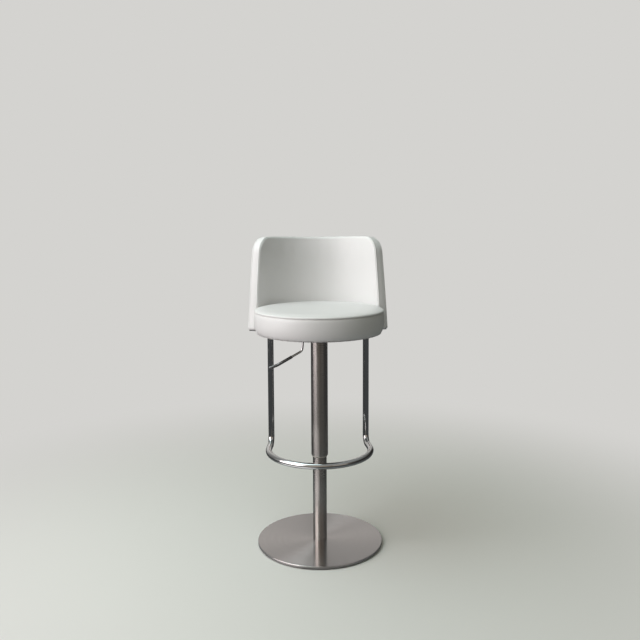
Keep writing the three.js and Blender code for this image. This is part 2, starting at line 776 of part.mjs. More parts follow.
function makeSeat() {
  const lining = disc(liningRadius, 0, liningThickness, seatSegments);
  const board = disc(seatBoardRadius, boardBottom, boardTop, seatSegments);
  const drillAll = (bottom, top) => seatScrews.map(([x, y]) => drill(screwHoleRadius, bottom, top, x, y));
  piece(seatGroup, 'seat_lining',
    cutAway(lining, ...drillAll(-cutOverrun, liningThickness + cutOverrun)), blackFelt);
  piece(seatGroup, 'seat_board',
    cutAway(board, ...drillAll(boardBottom - cutOverrun, boardTop + cutOverrun)), plywood);

  // The band swells between the tuck at the bottom and the piped seam
  const pipingCentre = seatRadius - seatPipingInset;
  const grooveRadius = pipingRadius + faceGap;
  const bandBottom = liningThickness + faceGap;
  const bandTop = seatPipingLevel - grooveRadius;
  const bandRise = bandTop - bandBottom;
  const bandSwell = seatRadius - liningRadius;
  const bandShares = [[0, 0.01], [0.55, 0.05], [0.9, 0.18], [1, 0.42], [0.97, 0.68], [0.86, 0.88]];
  const band = bandShares.map(([out, up]) =>
    [liningRadius + out * bandSwell, bandBottom + up * bandRise]);
  const groove = arc(pipingCentre, seatPipingLevel, grooveRadius,
    seatGrooveStartAngle, seatGrooveEndAngle, 4);
  const crownEdge = groove[groove.length - 1];
  const crownShares = [[0.96, 0.25], [0.85, 0.55], [0.6, 0.85], [0.3, 0.97], [0, 1]];
  const crown = crownShares.map(([out, up]) => [out * crownEdge[0], crownEdge[1] + up * seatCrown]);
  const pocket = seatBoardRadius + faceGap;
  const cushion = turned([
    [pocket, bandBottom], ...band, ...groove, ...crown,
    [0, boardTop + faceGap], [pocket, boardTop + faceGap],
  ], seatSegments);
  piece(seatGroup, 'seat_cushion', cushion, whiteLeatherette);

  const piping = turned(
    arc(pipingCentre, seatPipingLevel, pipingRadius, 0, fullTurn, pipingSides).slice(0, -1),
    seatSegments,
  );
  piece(seatGroup, 'seat_piping', piping, whitePiping);
}

// Layers through the back, from the sitter's side out
const boardInner = backInnerRadius + backFrontFoam;
const boardOuter = boardInner + backBoardThickness;
const bracketInner = boardOuter + faceGap;
const bracketOuter = bracketInner + bracketThickness;
const coverInner = bracketOuter + faceGap + screwHeadHeight + bracketHeadClearance;
const padOuter = coverInner - faceGap;
const backOuterRadius = coverInner + backCoverThickness;

// The back: flat patterns bent round the seat
const backMiddleRadius = (backInnerRadius + backOuterRadius) / 2;
const backBottom = -backBottomDrop;
const backTop = backBottom + backHeight;
const wingAngle = (front) => quarterTurn - Math.asin(front / backMiddleRadius);
const halfLengthAtBottom = backMiddleRadius * wingAngle(wingFrontAtBottom);
const halfLengthAtTop = backMiddleRadius * wingAngle(wingFrontAtTop);
const backLean = Math.atan2(halfLengthAtBottom - halfLengthAtTop, backHeight);

const onCylinder = (along, height, radius) => new THREE.Vector3(
  radius * Math.sin(along / backMiddleRadius), radius * Math.cos(along / backMiddleRadius), height,
);

// The pattern's outline drawn in by an inset, as four sides of the same counts
function backOutline(inset, bottomRise = inset) {
  const bottom = backBottom + bottomRise;
  const top = backTop - inset;
  const half = (height) => halfLengthAtBottom
    - (height - backBottom) * Math.tan(backLean) - inset / Math.cos(backLean);
  const corners = [
    [-half(bottom), bottom], [half(bottom), bottom], [half(top), top], [-half(top), top],
  ].map(([x, y]) => new THREE.Vector2(x, y));
  const rounds = [backBottomCorner, backBottomCorner, backTopCorner, backTopCorner]
    .map((radius) => Math.max(radius - inset, faceGap));
  const steps = 2 * backCornerSteps;
  const arcs = corners.map((corner, i) => {
    const before = corner.clone().sub(corners[(i + 3) % 4]).normalize();
    const after = corners[(i + 1) % 4].clone().sub(corner).normalize();
    const turn = Math.acos(before.dot(after));
    const start = corner.clone().addScaledVector(before, -rounds[i] * Math.tan(turn / 2));
    const inward = after.clone().addScaledVector(before, -Math.cos(turn)).normalize();
    return Array.from({ length: steps + 1 }, (_, k) => {
      const angle = (turn * k) / steps;
      return start.clone().addScaledVector(before, rounds[i] * Math.sin(angle))
        .addScaledVector(inward, rounds[i] * (1 - Math.cos(angle)));
    });
  });
  return arcs.map((here, i) => {
    const next = arcs[(i + 1) % 4];
    const spans = (i % 2 === 0 ? backColumns : backRows) - steps;
    const from = here[steps];
    const straight = Array.from({ length: spans - 1 }, (_, k) =>
      from.clone().lerp(next[0], (k + 1) / spans));
    return [...here.slice(backCornerSteps), ...straight, ...next.slice(0, backCornerSteps + 1)];
  });
}

// A point of the face that fills the outline, by column and row between the four sides
function patchPoint([low, right, high, left], column, row) {
  const s = (low[column].x - low[0].x) / (low[backColumns].x - low[0].x);
  const t = (right[row].y - right[0].y) / (right[backRows].y - right[0].y);
  const top = high[backColumns - column];
  const west = left[backRows - row];
  const blend = (axis) => (1 - t) * low[column][axis] + t * top[axis]
    + (1 - s) * west[axis] + s * right[row][axis]
    - (1 - s) * (1 - t) * low[0][axis] - s * (1 - t) * low[backColumns][axis]
    - s * t * high[0][axis] - (1 - s) * t * high[backColumns][axis];
  return [blend('x'), blend('y')];
}

// A bent panel: its rim runs through [inset, radius] pairs, from the outer face to the inner
function bentPanel(rim, bottomRise) {
  const positions = [];
  const triangles = [];
  const add = (along, height, radius) => {
    positions.push(...onCylinder(along, height, radius).toArray());
    return positions.length / 3 - 1;
  };
  const quad = (a, b, c, d) => triangles.push(a, b, c, a, c, d);
  const outlines = rim.map(([inset]) => backOutline(inset, bottomRise));
  const loops = outlines.map((sides, i) =>
    sides.flatMap((side) => side.slice(0, -1)).map((at) => add(at.x, at.y, rim[i][1])));
  loops.slice(1).forEach((inner, i) => {
    const outer = loops[i];
    outer.forEach((_, k) => {
      const next = (k + 1) % outer.length;
      quad(outer[k], outer[next], inner[next], inner[k]);
    });
  });
  const face = (which, outward) => {
    const edge = (step) => loops[which][step % loops[which].length];
    const at = (column, row) => {
      if (row === 0) return edge(column);
      if (column === backColumns) return edge(backColumns + row);
      if (row === backRows) return edge(2 * backColumns + backRows - column);
      if (column === 0) return edge(2 * (backColumns + backRows) - row);
      return add(...patchPoint(outlines[which], column, row), rim[which][1]);
    };
    const grid = Array.from({ length: backColumns + 1 }, (_, column) =>
      Array.from({ length: backRows + 1 }, (__, row) => at(column, row)));
    for (let column = 0; column < backColumns; column += 1) {
      for (let row = 0; row < backRows; row += 1) {
        const near = grid[column];
        const far = grid[column + 1];
        const rightHalf = column >= backColumns / 2;
        const [a, b, c, d] = rightHalf
          ? [near[row], far[row], far[row + 1], near[row + 1]]
          : [far[row], far[row + 1], near[row + 1], near[row]];
        quad(...(outward ? [a, d, c, b] : [a, b, c, d]));
      }
    }
  };
  face(0, true);
  face(rim.length - 1, false);
  const geometry = new THREE.BufferGeometry();
  geometry.setAttribute('position', new THREE.Float32BufferAttribute(positions, 3));
  geometry.setIndex(triangles);
  return closed(geometry);
}

const backLiningTop = backBottom - faceGap;
const backLiningBottom = backLiningTop - backLiningThickness;

// Holes and slots are drawn along +X and then turned to a bracket's angle
const radialHole = (from, to, angle, height) => drill(screwHoleRadius, from, to)
  .rotateY(quarterTurn).rotateZ(angle).translate(0, 0, height);
const bracketBlock = (inner, outer, bottom, top, angle) =>
  block(outer - inner, bracketWidth + softGap, top - bottom, (inner + outer) / 2, 0, bottom)
    .rotateZ(angle);

function makeBack() {
  const grooveRadius = (pipingRadius + faceGap) / Math.cos(halfTurn / 2 / grooveSteps);
  const pipingLine = backInnerRadius + backPipingInset;
  const grooveStart = Math.acos(-backPipingInset / grooveRadius);
  const groove = arc(backPipingInset, pipingLine, grooveRadius,
    grooveStart, quarterTurn - grooveStart, grooveSteps);
  const pad = bentPanel([[faceGap, padOuter], [0, padOuter - faceGap], ...groove]);
  const pocket = bentPanel([
    [backBoardInset - faceGap, boardOuter + faceGap], [backBoardInset - faceGap, boardInner - faceGap],
  ], -cutOverrun);
  const slotTop = backBottom + bracketRise + softGap;
  const slots = bracketAngles.map((angle) => bracketBlock(
    boardInner, backOuterRadius, backBottom - cutOverrun, slotTop, angle));
  piece(seatGroup, 'back_pad', cutAway(pad, pocket, ...slots), whiteLeatherette);

  const holes = bracketAngles.flatMap((angle) => bracketBackScrewHeights.map((height) =>
    radialHole(boardInner - cutOverrun, boardOuter + cutOverrun, angle, height)));
  const board = bentPanel([[backBoardInset, boardOuter], [backBoardInset, boardInner]], faceGap);
  piece(seatGroup, 'back_board', cutAway(board, ...holes), plywood);

  const cover = bentPanel(
    arc(backCoverThickness, coverInner, backCoverThickness, quarterTurn, halfTurn, 2));
  piece(seatGroup, 'back_cover', cover, whiteLeatherette);

  const [, right, high, left] = backOutline(backPipingInset);
  const pipingStations = [
    ...right.slice(backCornerSteps), ...high.slice(1), ...left.slice(1, backRows - backCornerSteps + 1),
  ].map((at) => onCylinder(at.x, at.y, pipingLine));
  piece(seatGroup, 'back_piping', sweep(pipingStations, pipingRadius, pipingSides), whitePiping);

  const liningReach = (halfLengthAtBottom - backBottomCorner) / backMiddleRadius;
  const liningShape = new THREE.Shape([
    ...arc(0, 0, backOuterRadius - backLiningInset, quarterTurn - liningReach,
      quarterTurn + liningReach, backColumns),
    ...arc(0, 0, backInnerRadius + backLiningInset, quarterTurn + liningReach,
      quarterTurn - liningReach, backColumns),
  ].map(([x, y]) => new THREE.Vector2(x, y)));
  const lining = new THREE.ExtrudeGeometry(liningShape,
    { depth: backLiningThickness, bevelEnabled: false }).translate(0, 0, backLiningBottom);
  const liningSlots = bracketAngles.map((angle) => bracketBlock(
    bracketInner - bracketBend - backLiningSlotMargin, bracketOuter + backLiningSlotMargin,
    backLiningBottom - cutOverrun, backLiningTop + cutOverrun, angle));
  piece(seatGroup, 'back_lining', cutAway(lining, ...liningSlots), blackFelt);
}

// The steel straps that carry the back, each cranked under its lining and turned up
function makeBrackets() {
  const nearTop = -faceGap;
  const farTop = backLiningBottom - faceGap;
  const riseTop = backBottom + bracketRise;
  const outerBend = bracketBend + bracketThickness;
  const bendX = bracketInner - bracketBend;
  const bendY = farTop + bracketBend;
  const crankStart = bracketJoggleEnd - bracketJoggle;
  const outline = new THREE.Shape([
    [bracketInnerEnd, nearTop - bracketThickness], [crankStart, nearTop - bracketThickness],
    [bracketJoggleEnd, farTop - bracketThickness],
    ...arc(bendX, bendY, outerBend, -quarterTurn, 0, 3),
    [bracketOuter, riseTop], [bracketInner, riseTop],
    ...arc(bendX, bendY, bracketBend, 0, -quarterTurn, 2),
    [bracketJoggleEnd, farTop], [crankStart, nearTop], [bracketInnerEnd, nearTop],
  ].map(([x, y]) => new THREE.Vector2(x, y)));
  bracketAngles.forEach((angle, i) => {
    const side = i === 0 ? 'right' : 'left';
    const strap = new THREE.ExtrudeGeometry(outline, { depth: bracketWidth, bevelEnabled: false });
    strap.rotateX(quarterTurn).translate(0, bracketWidth / 2, 0).rotateZ(angle);
    const seatHoles = bracketSeatScrewOffsets.map((offset) => drill(screwHoleRadius,
      nearTop - bracketThickness - cutOverrun, nearTop + cutOverrun,
      offset * Math.cos(angle), offset * Math.sin(angle)));
    const backHoles = bracketBackScrewHeights.map((height) =>
      radialHole(bracketInner - cutOverrun, bracketOuter + cutOverrun, angle, height));
    piece(seatGroup, `back_bracket_${side}`, cutAway(strap, ...seatHoles, ...backHoles), blackEnamel);

    const face = bracketOuter + faceGap;
    const length = face - boardInner - 2 * faceGap;
    bracketBackScrewHeights.forEach((height, k) => {
      const fastener = screw(length).rotateY(-quarterTurn).translate(face, 0, 0).rotateZ(angle);
      piece(seatGroup, `back_screw_${side}_${k + 1}`, fastener, zincSteel, 0, 0, height);
    });
  });
}

makeBase();
makeColumn();
makeRod();
makeLift();
makeSeatPlate();
makeLever();
makeFootrest();
makeSeatScrews();
makeSeat();
makeBack();
makeBrackets();

export default stool;
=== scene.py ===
# %% [markdown]
# # A counter stool on a gas lift
# The stool has a round padded seat in a wrap-round back, a footrest of bright tube hung
# from the seat, and a cover tube that slides over the column on a heavy steel disc.
# The construction model gives every piece its place and size. This script gives each
# surface its finish, and makes the soft and the finely rounded pieces again in more detail.

# %% The tools and the fixed frame
import json
import math
import random

import bmesh
import bpy
from mathutils import Matrix, Vector
from mathutils.bvhtree import BVHTree


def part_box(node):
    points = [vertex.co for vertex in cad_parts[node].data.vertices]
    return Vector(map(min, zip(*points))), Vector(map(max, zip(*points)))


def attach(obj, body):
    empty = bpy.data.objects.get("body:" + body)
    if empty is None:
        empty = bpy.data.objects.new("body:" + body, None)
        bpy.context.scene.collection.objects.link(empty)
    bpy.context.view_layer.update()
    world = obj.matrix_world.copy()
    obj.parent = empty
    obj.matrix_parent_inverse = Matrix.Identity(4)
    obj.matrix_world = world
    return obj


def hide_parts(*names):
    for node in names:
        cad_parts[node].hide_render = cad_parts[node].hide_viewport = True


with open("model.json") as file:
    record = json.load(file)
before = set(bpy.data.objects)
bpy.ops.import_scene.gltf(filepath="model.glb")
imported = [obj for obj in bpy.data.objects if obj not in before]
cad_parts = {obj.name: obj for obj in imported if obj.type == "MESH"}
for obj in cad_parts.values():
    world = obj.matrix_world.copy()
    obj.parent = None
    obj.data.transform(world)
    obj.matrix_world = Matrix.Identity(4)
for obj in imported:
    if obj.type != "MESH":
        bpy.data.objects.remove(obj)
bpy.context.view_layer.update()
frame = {"nodes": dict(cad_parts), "record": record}
scene = bpy.context.scene
scene.view_settings.view_transform = "Standard"
random.seed(11)
MM = 0.001
UP = Vector((0, 0, 1))
merge_distance = 0.01 * MM
tolerance = 0.1 * MM

# %% [markdown]
# ## The camera
# The picture was taken from a little above the seat, with the camera held level and the
# frame cut low. A camera that only shifts its lens would crop other views, so most of the
# drop is a small tilt. Its place is the real one, which shows each surface at its own angle.

# %% Camera
camera_data = bpy.data.cameras.new("camera")
camera_data.sensor_width = 36
camera_data.lens = 40.8
camera_data.shift_y = -0.05
camera = bpy.data.objects.new("camera", camera_data)
scene.collection.objects.link(camera)
scene.camera = camera
camera_azimuth = math.radians(-2.3)
camera_turn = math.radians(-0.087)
camera_tilt = math.radians(5.4)
camera_roll = math.radians(-0.27)
camera_distance = 2.55
camera_height = 1.168
camera.matrix_world = (
    Matrix.Translation((
        camera_distance * math.sin(camera_azimuth),
        -camera_distance * math.cos(camera_azimuth),
        camera_height,
    ))
    @ Matrix.Rotation(camera_azimuth + camera_turn, 4, "Z")
    @ Matrix.Rotation(math.pi / 2 - camera_tilt, 4, "X")
    @ Matrix.Rotation(camera_roll, 4, "Z")
)
print("camera stands at", [round(v, 3) for v in camera.matrix_world.translation])

# %% [markdown]
# ## Colours and nodes
# Colours are picked as the hex values that a screen shows, while the shader works in
# linear light, so one function turns the one into the other. Another small function adds
# a node, sets its values and links it. Two more start a finish and join what its nodes
# make to the shader, which keeps every finish below down to a few lines.


# %% Helpers for every finish
def linear(hex_colour):
    channels = [int(hex_colour[i:i + 2], 16) / 255 for i in (1, 3, 5)]
    return tuple(c / 12.92 if c <= 0.04045 else ((c + 0.055) / 1.055) ** 2.4 for c in channels) + (1,)


def add(tree, kind, settings=(), links=()):
    node = tree.nodes.new("ShaderNode" + kind)
    for key, value in dict(settings).items():
        if isinstance(key, str) and key not in node.inputs:
            setattr(node, key, value)
        else:
            node.inputs[key].default_value = value
    for key, source in dict(links).items():
        tree.links.new(source, node.inputs[key])
    return node


def new_finish(name, base, roughness, metallic=0.0, **sockets):
    material = bpy.data.materials.new(name)
    material.use_nodes = True
    tree = material.node_tree
    shader = tree.nodes["Principled BSDF"]
    shader.inputs["Base Color"].default_value = linear(base)
    shader.inputs["Roughness"].default_value = roughness
    shader.inputs["Metallic"].default_value = metallic
    for socket, value in sockets.items():
        shader.inputs[socket.replace("_", " ")].default_value = value
    place = add(tree, "TexCoord").outputs["Object"]
    return material, tree, place


def joined(material, **sources):
    tree = material.node_tree
    for socket, source in sources.items():
        tree.links.new(source, tree.nodes["Principled BSDF"].inputs[socket.replace("_", " ")])
    return material


leatherette_white = "#e7e5e5"
print("white of the leatherette in linear light:", [round(v, 3) for v in linear(leatherette_white)])

# %% [markdown]
# ## The floor, the air and the lamps
# A plain pale floor carries the shadow and fades into the pale air behind it, so that no
# horizon crosses the picture, and from below it is clear, so that the underside shows.
# What the metal mirrors is another thing: bright steel looks like steel only when it has
# something dark to mirror. So the rays that leave a shiny surface see a room: pale behind
# the stool, a window on the left, and dark where the camera stands and on the right. The
# floor that they see past the disc is dark too, but for the window's glare. Rays that
# light matt surfaces get plain soft light.

# %% Floor
floor_half_width = 14.0
floor_bm = bmesh.new()
bmesh.ops.create_grid(floor_bm, x_segments=1, y_segments=1, size=floor_half_width)
floor_mesh = bpy.data.meshes.new("floor")
floor_bm.to_mesh(floor_mesh)
floor_bm.free()
floor = bpy.data.objects.new("floor", floor_mesh)
scene.collection.objects.link(floor)
print("floor spans", 2 * floor_half_width, "m")

# %% The floor's paint
# Under the stool the camera sees paint, and further out the colour of the air. The light
# that the floor throws back is that of a greyer paint, which keeps undersides in shade.
air_colour = linear("#d4d3d0")
fade_start = 0.45
fade_end = 2.2
floor_paint, floor_tree, floor_place = new_finish("matt_floor_paint", "#d6d6d4", 0.7)
floor_ray = add(floor_tree, "LightPath")
floor_tone = add(
    floor_tree, "Mix", {"data_type": "RGBA", 6: linear("#8f9498"), 7: linear("#dededb")},
    {0: floor_ray.outputs["Is Camera Ray"]},
)
joined(floor_paint, Base_Color=floor_tone.outputs[2])
floor_reach = add(floor_tree, "VectorMath", {"operation": "LENGTH"}, {0: floor_place})
floor_fade = add(
    floor_tree, "MapRange",
    {"interpolation_type": "SMOOTHSTEP", "From Min": fade_start, "From Max": fade_end},
    {"Value": floor_reach.outputs["Value"]},
)
seen_far = add(floor_tree, "Math", {"operation": "MULTIPLY"},
               {0: floor_fade.outputs[0], 1: floor_ray.outputs["Is Camera Ray"]})
far_floor = add(floor_tree, "Emission", {"Color": air_colour, "Strength": 1.0})
plain_floor = add(
    floor_tree, "MixShader", {},
    {0: seen_far.outputs[0], 1: floor_tree.nodes["Principled BSDF"].outputs[0], 2: far_floor.outputs[0]},
)
print("floor fades from", fade_start, "to", fade_end, "m")

# %% The floor that metal mirrors
# The glare lies on the left and toward the camera. Each limit says where on that axis, or
# how far from the column, the glare starts and where it is full.
glare_strength = 6
mirror_start = 0.25
mirror_full = 0.9
floor_side = add(floor_tree, "SeparateXYZ", {}, {0: floor_place})
glare_limits = [
    (floor_side.outputs["X"], -0.02, -0.2),
    (floor_reach.outputs["Value"], 0.8, 0.45),
    (floor_side.outputs["Y"], 0.12, -0.12),
]
glare_shares = [
    add(floor_tree, "MapRange", {"From Min": start, "From Max": full}, {"Value": source}).outputs[0]
    for source, start, full in glare_limits
]
glare = glare_shares[0]
for share in glare_shares[1:]:
    glare = add(floor_tree, "Math", {"operation": "MULTIPLY"}, {0: glare, 1: share}).outputs[0]
glare_colour = [glare_strength * channel for channel in linear("#c4c0c0")]
mirrored_tone = add(
    floor_tree, "Mix", {"data_type": "RGBA", 6: linear("#4a4c4d"), 7: glare_colour}, {0: glare},
)
mirrored_floor = add(floor_tree, "Emission", {"Strength": 1.0}, {"Color": mirrored_tone.outputs[2]})
mirrored_fade = add(
    floor_tree, "MapRange", {"From Min": mirror_start, "From Max": mirror_full},
    {"Value": floor_reach.outputs["Value"]},
)
mirrored_far = add(floor_tree, "Math", {"operation": "MULTIPLY"},
                   {0: mirrored_fade.outputs[0], 1: floor_ray.outputs["Is Glossy Ray"]})
upper_side = add(floor_tree, "MixShader", {},
                 {0: mirrored_far.outputs[0], 1: plain_floor.outputs[0], 2: mirrored_floor.outputs[0]})
print("glare has", len(glare_limits), "limits")

# %% The floor from below
from_below = add(
    floor_tree, "Math", {"operation": "MULTIPLY"},
    {0: add(floor_tree, "NewGeometry").outputs["Backfacing"], 1: floor_ray.outputs["Is Camera Ray"]},
)
glass_floor = add(floor_tree, "BsdfTransparent")
whole_floor = add(floor_tree, "MixShader", {},
                  {0: from_below.outputs[0], 1: upper_side.outputs[0], 2: glass_floor.outputs[0]})
floor_tree.links.new(whole_floor.outputs[0], floor_tree.nodes["Material Output"].inputs["Surface"])
floor_mesh.materials.append(floor_paint)
print("floor's material has", len(floor_tree.nodes), "nodes")

# %% The air around
left_strength = 0.52
right_strength = 0.06
top_strength = 0.3
world = bpy.data.worlds.new("studio")
world.use_nodes = True
scene.world = world
air = world.node_tree
direction = add(air, "TexCoord").outputs["Generated"]
parts = add(air, "SeparateXYZ", {}, {0: direction})
from_left = add(
    air, "MapRange",
    {"From Min": -1.0, "From Max": 0.7, "To Min": left_strength, "To Max": right_strength},
    {"Value": parts.outputs["X"]},
)
from_above = add(air, "MapRange", {"To Max": top_strength}, {"Value": parts.outputs["Z"]})
soft_light = add(air, "Math", {"operation": "ADD"}, {0: from_left.outputs[0], 1: from_above.outputs[0]})
soft = air.nodes["Background"]
soft.inputs["Color"].default_value = linear("#dbdbca")
air.links.new(soft_light.outputs[0], soft.inputs["Strength"])
print("soft light falls mostly from the left and from above")

# %% The room that metal mirrors
# The ramp goes once round the stool: 0 and 1 are behind it, 0.25 is its left, 0.5 the
# camera's side and 0.75 its right. The window's two stops are brighter than white paint.
toward_camera = add(air, "Math", {"operation": "MULTIPLY", 1: -1.0}, {0: parts.outputs["Y"]})
bearing = add(air, "Math", {"operation": "ARCTAN2"}, {0: parts.outputs["X"], 1: toward_camera.outputs[0]})
turn_share = add(air, "MapRange", {"From Min": -math.pi, "From Max": math.pi}, {"Value": bearing.outputs[0]})
room = add(air, "ValToRGB", {}, {"Fac": turn_share.outputs[0]})
room_stops = [
    (0.0, "#dedcd9"), (0.06, "#d0cecb"), (0.12, "#8a8988"), (0.18, "#7a7978"), (0.24, "#c0bfbf"),
    (0.3, "#d8d6d5"), (0.345, "#f5f0ec"), (0.395, "#f5f0ec"), (0.412, "#cbc2b6"), (0.45, "#c0b4a6"),
    (0.5, "#a99c8e"), (0.53, "#94887b"), (0.57, "#7a6e62"), (0.65, "#74685c"), (0.69, "#3d342c"),
    (0.74, "#211d19"), (0.92, "#2b2825"), (0.965, "#cfcdca"),
]
window_strength = {0.345: 1.5, 0.395: 1.5}
ramp = room.color_ramp
while len(ramp.elements) < len(room_stops):
    ramp.elements.new(0.5)
for element, (turn, colour) in zip(ramp.elements, room_stops):
    element.position = turn
    element.color = [channel * window_strength.get(turn, 1.0) for channel in linear(colour)]
ceiling_share = add(air, "MapRange", {"From Min": 0.25, "From Max": 0.85}, {"Value": parts.outputs["Z"]})
room_colour = add(air, "Mix", {"data_type": "RGBA", 7: linear("#9fa2a2")},
                  {0: ceiling_share.outputs[0], 6: room.outputs["Color"]})
mirrored = add(air, "Background", {"Strength": 1.0}, {"Color": room_colour.outputs[2]})
seen = add(air, "Background", {"Color": air_colour, "Strength": 1.0})
ray = add(air, "LightPath")
lit_or_mirrored = add(
    air, "MixShader", {}, {0: ray.outputs["Is Glossy Ray"], 1: soft.outputs[0], 2: mirrored.outputs[0]},
)
mixed = add(
    air, "MixShader", {},
    {0: ray.outputs["Is Camera Ray"], 1: lit_or_mirrored.outputs[0], 2: seen.outputs[0]},
)
air.links.new(mixed.outputs[0], air.nodes["World Output"].inputs["Surface"])
print("the mirrored room has", len(room_stops), "stops")


# %% Lamps
def soft_lamp(name, place, size, power, colour):
    data = bpy.data.lights.new(name, "AREA")
    data.shape = "SQUARE"
    data.size = size
    data.energy = power
    data.color = linear(colour)[:3]
    lamp = bpy.data.objects.new(name, data)
    scene.collection.objects.link(lamp)
    facing = (seat_middle - Vector(place)).to_track_quat("-Z", "Y").to_matrix().to_4x4()
    lamp.matrix_world = Matrix.Translation(place) @ facing


seat_middle = Vector((0, 0, 0.85))
soft_lamp("window", (-2.65, -1.2, 1.75), 3.0, 68, "#fff5f7")
soft_lamp("sky", (-1.1, -0.35, 3.0), 2.2, 41, "#dff3f4")
soft_lamp("bounce", (2.2, -2.6, 1.5), 2.0, 2.5, "#f4f4ee")

# %% [markdown]
# ## Stainless steel and chrome
# The disc is stainless steel that was brushed while it turned, so its fine lines are
# circles, and light spreads across them into a bow-tie. A turned pattern needs no picture:
# the distance from the axis drives a fine noise, and the direction around it a slow one.
# The real lines are a tenth of a millimetre wide, and are drawn coarser to show.


# %% Brushed stainless steel on the disc
def turned_stainless():
    material, tree, place = new_finish(
        "turned_stainless", "#b9b3af", 0.24, 1.0, Anisotropic=1.0, Anisotropic_Rotation=0.25,
    )
    line_spacing = 0.9 * MM
    changes_around = 1.6
    flat = add(tree, "VectorMath", {"operation": "MULTIPLY", 1: (1, 1, 0)}, {0: place})
    around = add(tree, "VectorMath", {"operation": "NORMALIZE"}, {0: flat.outputs["Vector"]})
    out = add(tree, "VectorMath", {"operation": "LENGTH"}, {0: flat.outputs["Vector"]})
    rings = add(tree, "Math", {"operation": "MULTIPLY", 1: 1 / line_spacing}, {0: out.outputs["Value"]})
    level = add(tree, "CombineXYZ", {}, {"Z": rings.outputs[0]})
    spot = add(tree, "VectorMath", {"operation": "MULTIPLY_ADD", 1: [changes_around] * 3},
               {0: around.outputs["Vector"], 2: level.outputs[0]})
    lines = add(tree, "TexNoise", {"Scale": 1.0, "Detail": 3.0, "Roughness": 0.65},
                {"Vector": spot.outputs["Vector"]})
    tone = add(tree, "Mix", {"data_type": "RGBA", 6: linear("#aea8a5"), 7: linear("#cec9c7")},
               {0: lines.outputs["Fac"]})
    rough = add(tree, "MapRange", {"To Min": 0.18, "To Max": 0.3}, {"Value": lines.outputs["Fac"]})
    bump = add(tree, "Bump", {"Strength": 0.35, "Distance": 0.1 * MM}, {"Height": lines.outputs["Fac"]})
    return joined(material, Base_Color=tone.outputs[2], Roughness=rough.outputs[0], Normal=bump.outputs[0])


# %% Satin stainless tube
# The tubes turned between belts as they were polished, so the grain runs round them.
# Light spreads across the grain, which draws each lamp out into an upright streak, and
# the sides of the streak stay crisp. The column is polished a little finer than its cover.
def satin_tube(name, roughness, evenness):
    material, tree, place = new_finish(
        name, "#b4b0ac", roughness, 1.0, Anisotropic=evenness, Anisotropic_Rotation=0.25,
    )
    grain_width = 0.8 * MM
    grain_length = 24 * MM
    haze_width = 111 * MM
    stretch = add(tree, "Mapping", {"Scale": (1 / grain_length, 1 / grain_length, 1 / grain_width)},
                  {"Vector": place})
    grain = add(tree, "TexNoise", {"Scale": 1.0, "Detail": 4.0, "Roughness": 0.6},
                {"Vector": stretch.outputs[0]})
    haze = add(tree, "TexNoise", {"Scale": 1 / haze_width, "Detail": 2.0}, {"Vector": place})
    rough = add(tree, "MapRange", {"To Min": roughness - 0.06, "To Max": roughness + 0.06},
                {"Value": grain.outputs["Fac"]})
    hazed = add(tree, "MapRange", {"To Min": -0.03, "To Max": 0.05}, {"Value": haze.outputs["Fac"]})
    total = add(tree, "Math", {"operation": "ADD"}, {0: rough.outputs[0], 1: hazed.outputs[0]})
    tone = add(tree, "Mix", {"data_type": "RGBA", 6: linear("#aca7a2"), 7: linear("#bebab6")},
               {0: grain.outputs["Fac"]})
    bump = add(tree, "Bump", {"Strength": 0.08, "Distance": 0.03 * MM}, {"Height": grain.outputs["Fac"]})
    return joined(material, Base_Color=tone.outputs[2], Roughness=total.outputs[0], Normal=bump.outputs[0])


# %% Polished chrome plate
# Chrome plate mirrors almost sharply. Handling leaves a very faint haze on it.
def polished_chrome():
    material, tree, place = new_finish("polished_chrome_plate", "#cccccb", 0.06, 1.0)
    haze_width = 38.5 * MM
    ripple_width = 16.7 * MM
    haze = add(tree, "TexNoise", {"Scale": 1 / haze_width, "Detail": 4.0, "Roughness": 0.7},
               {"Vector": place})
    rough = add(tree, "MapRange", {"From Min": 0.35, "From Max": 0.7, "To Min": 0.04, "To Max": 0.12},
                {"Value": haze.outputs["Fac"]})
    ripple = add(tree, "TexNoise", {"Scale": 1 / ripple_width, "Detail": 1.0}, {"Vector": place})
    bump = add(tree, "Bump", {"Strength": 0.05, "Distance": 0.06 * MM}, {"Height": ripple.outputs["Fac"]})
    return joined(material, Roughness=rough.outputs[0], Normal=bump.outputs[0])


# %% Ground bar and zinc plate
# A grinding wheel leaves short marks round the bar, which only blur what it mirrors. Zinc
# plate grows in small flecks, each a little lighter or darker than the next.
def ground_steel():
    material, tree, place = new_finish("ground_steel_bar", "#9d9d9b", 0.28, 1.0)
    mark_length = 8.3 * MM
    mark_width = 0.45 * MM
    grind = add(tree, "Mapping", {"Scale": (1 / mark_length, 1 / mark_length, 1 / mark_width)},
                {"Vector": place})
    marks = add(tree, "TexNoise", {"Scale": 1.0, "Detail": 3.0}, {"Vector": grind.outputs[0]})
    rough = add(tree, "MapRange", {"To Min": 0.18, "To Max": 0.38}, {"Value": marks.outputs["Fac"]})
    return joined(material, Roughness=rough.outputs[0])


def zinc_plate():
    material, tree, place = new_finish("bright_zinc_plate", "#a9acaf", 0.36, 1.0)
    fleck_width = 2.4 * MM
    flecks = add(tree, "TexVoronoi", {"Scale": 1 / fleck_width}, {"Vector": place})
    tone = add(tree, "Mix", {"data_type": "RGBA", 6: linear("#989ba0"), 7: linear("#b7b9bb")},
               {0: flecks.outputs["Distance"]})
    rough = add(tree, "MapRange", {"To Min": 0.28, "To Max": 0.48}, {"Value": flecks.outputs["Distance"]})
    return joined(material, Base_Color=tone.outputs[2], Roughness=rough.outputs[0])


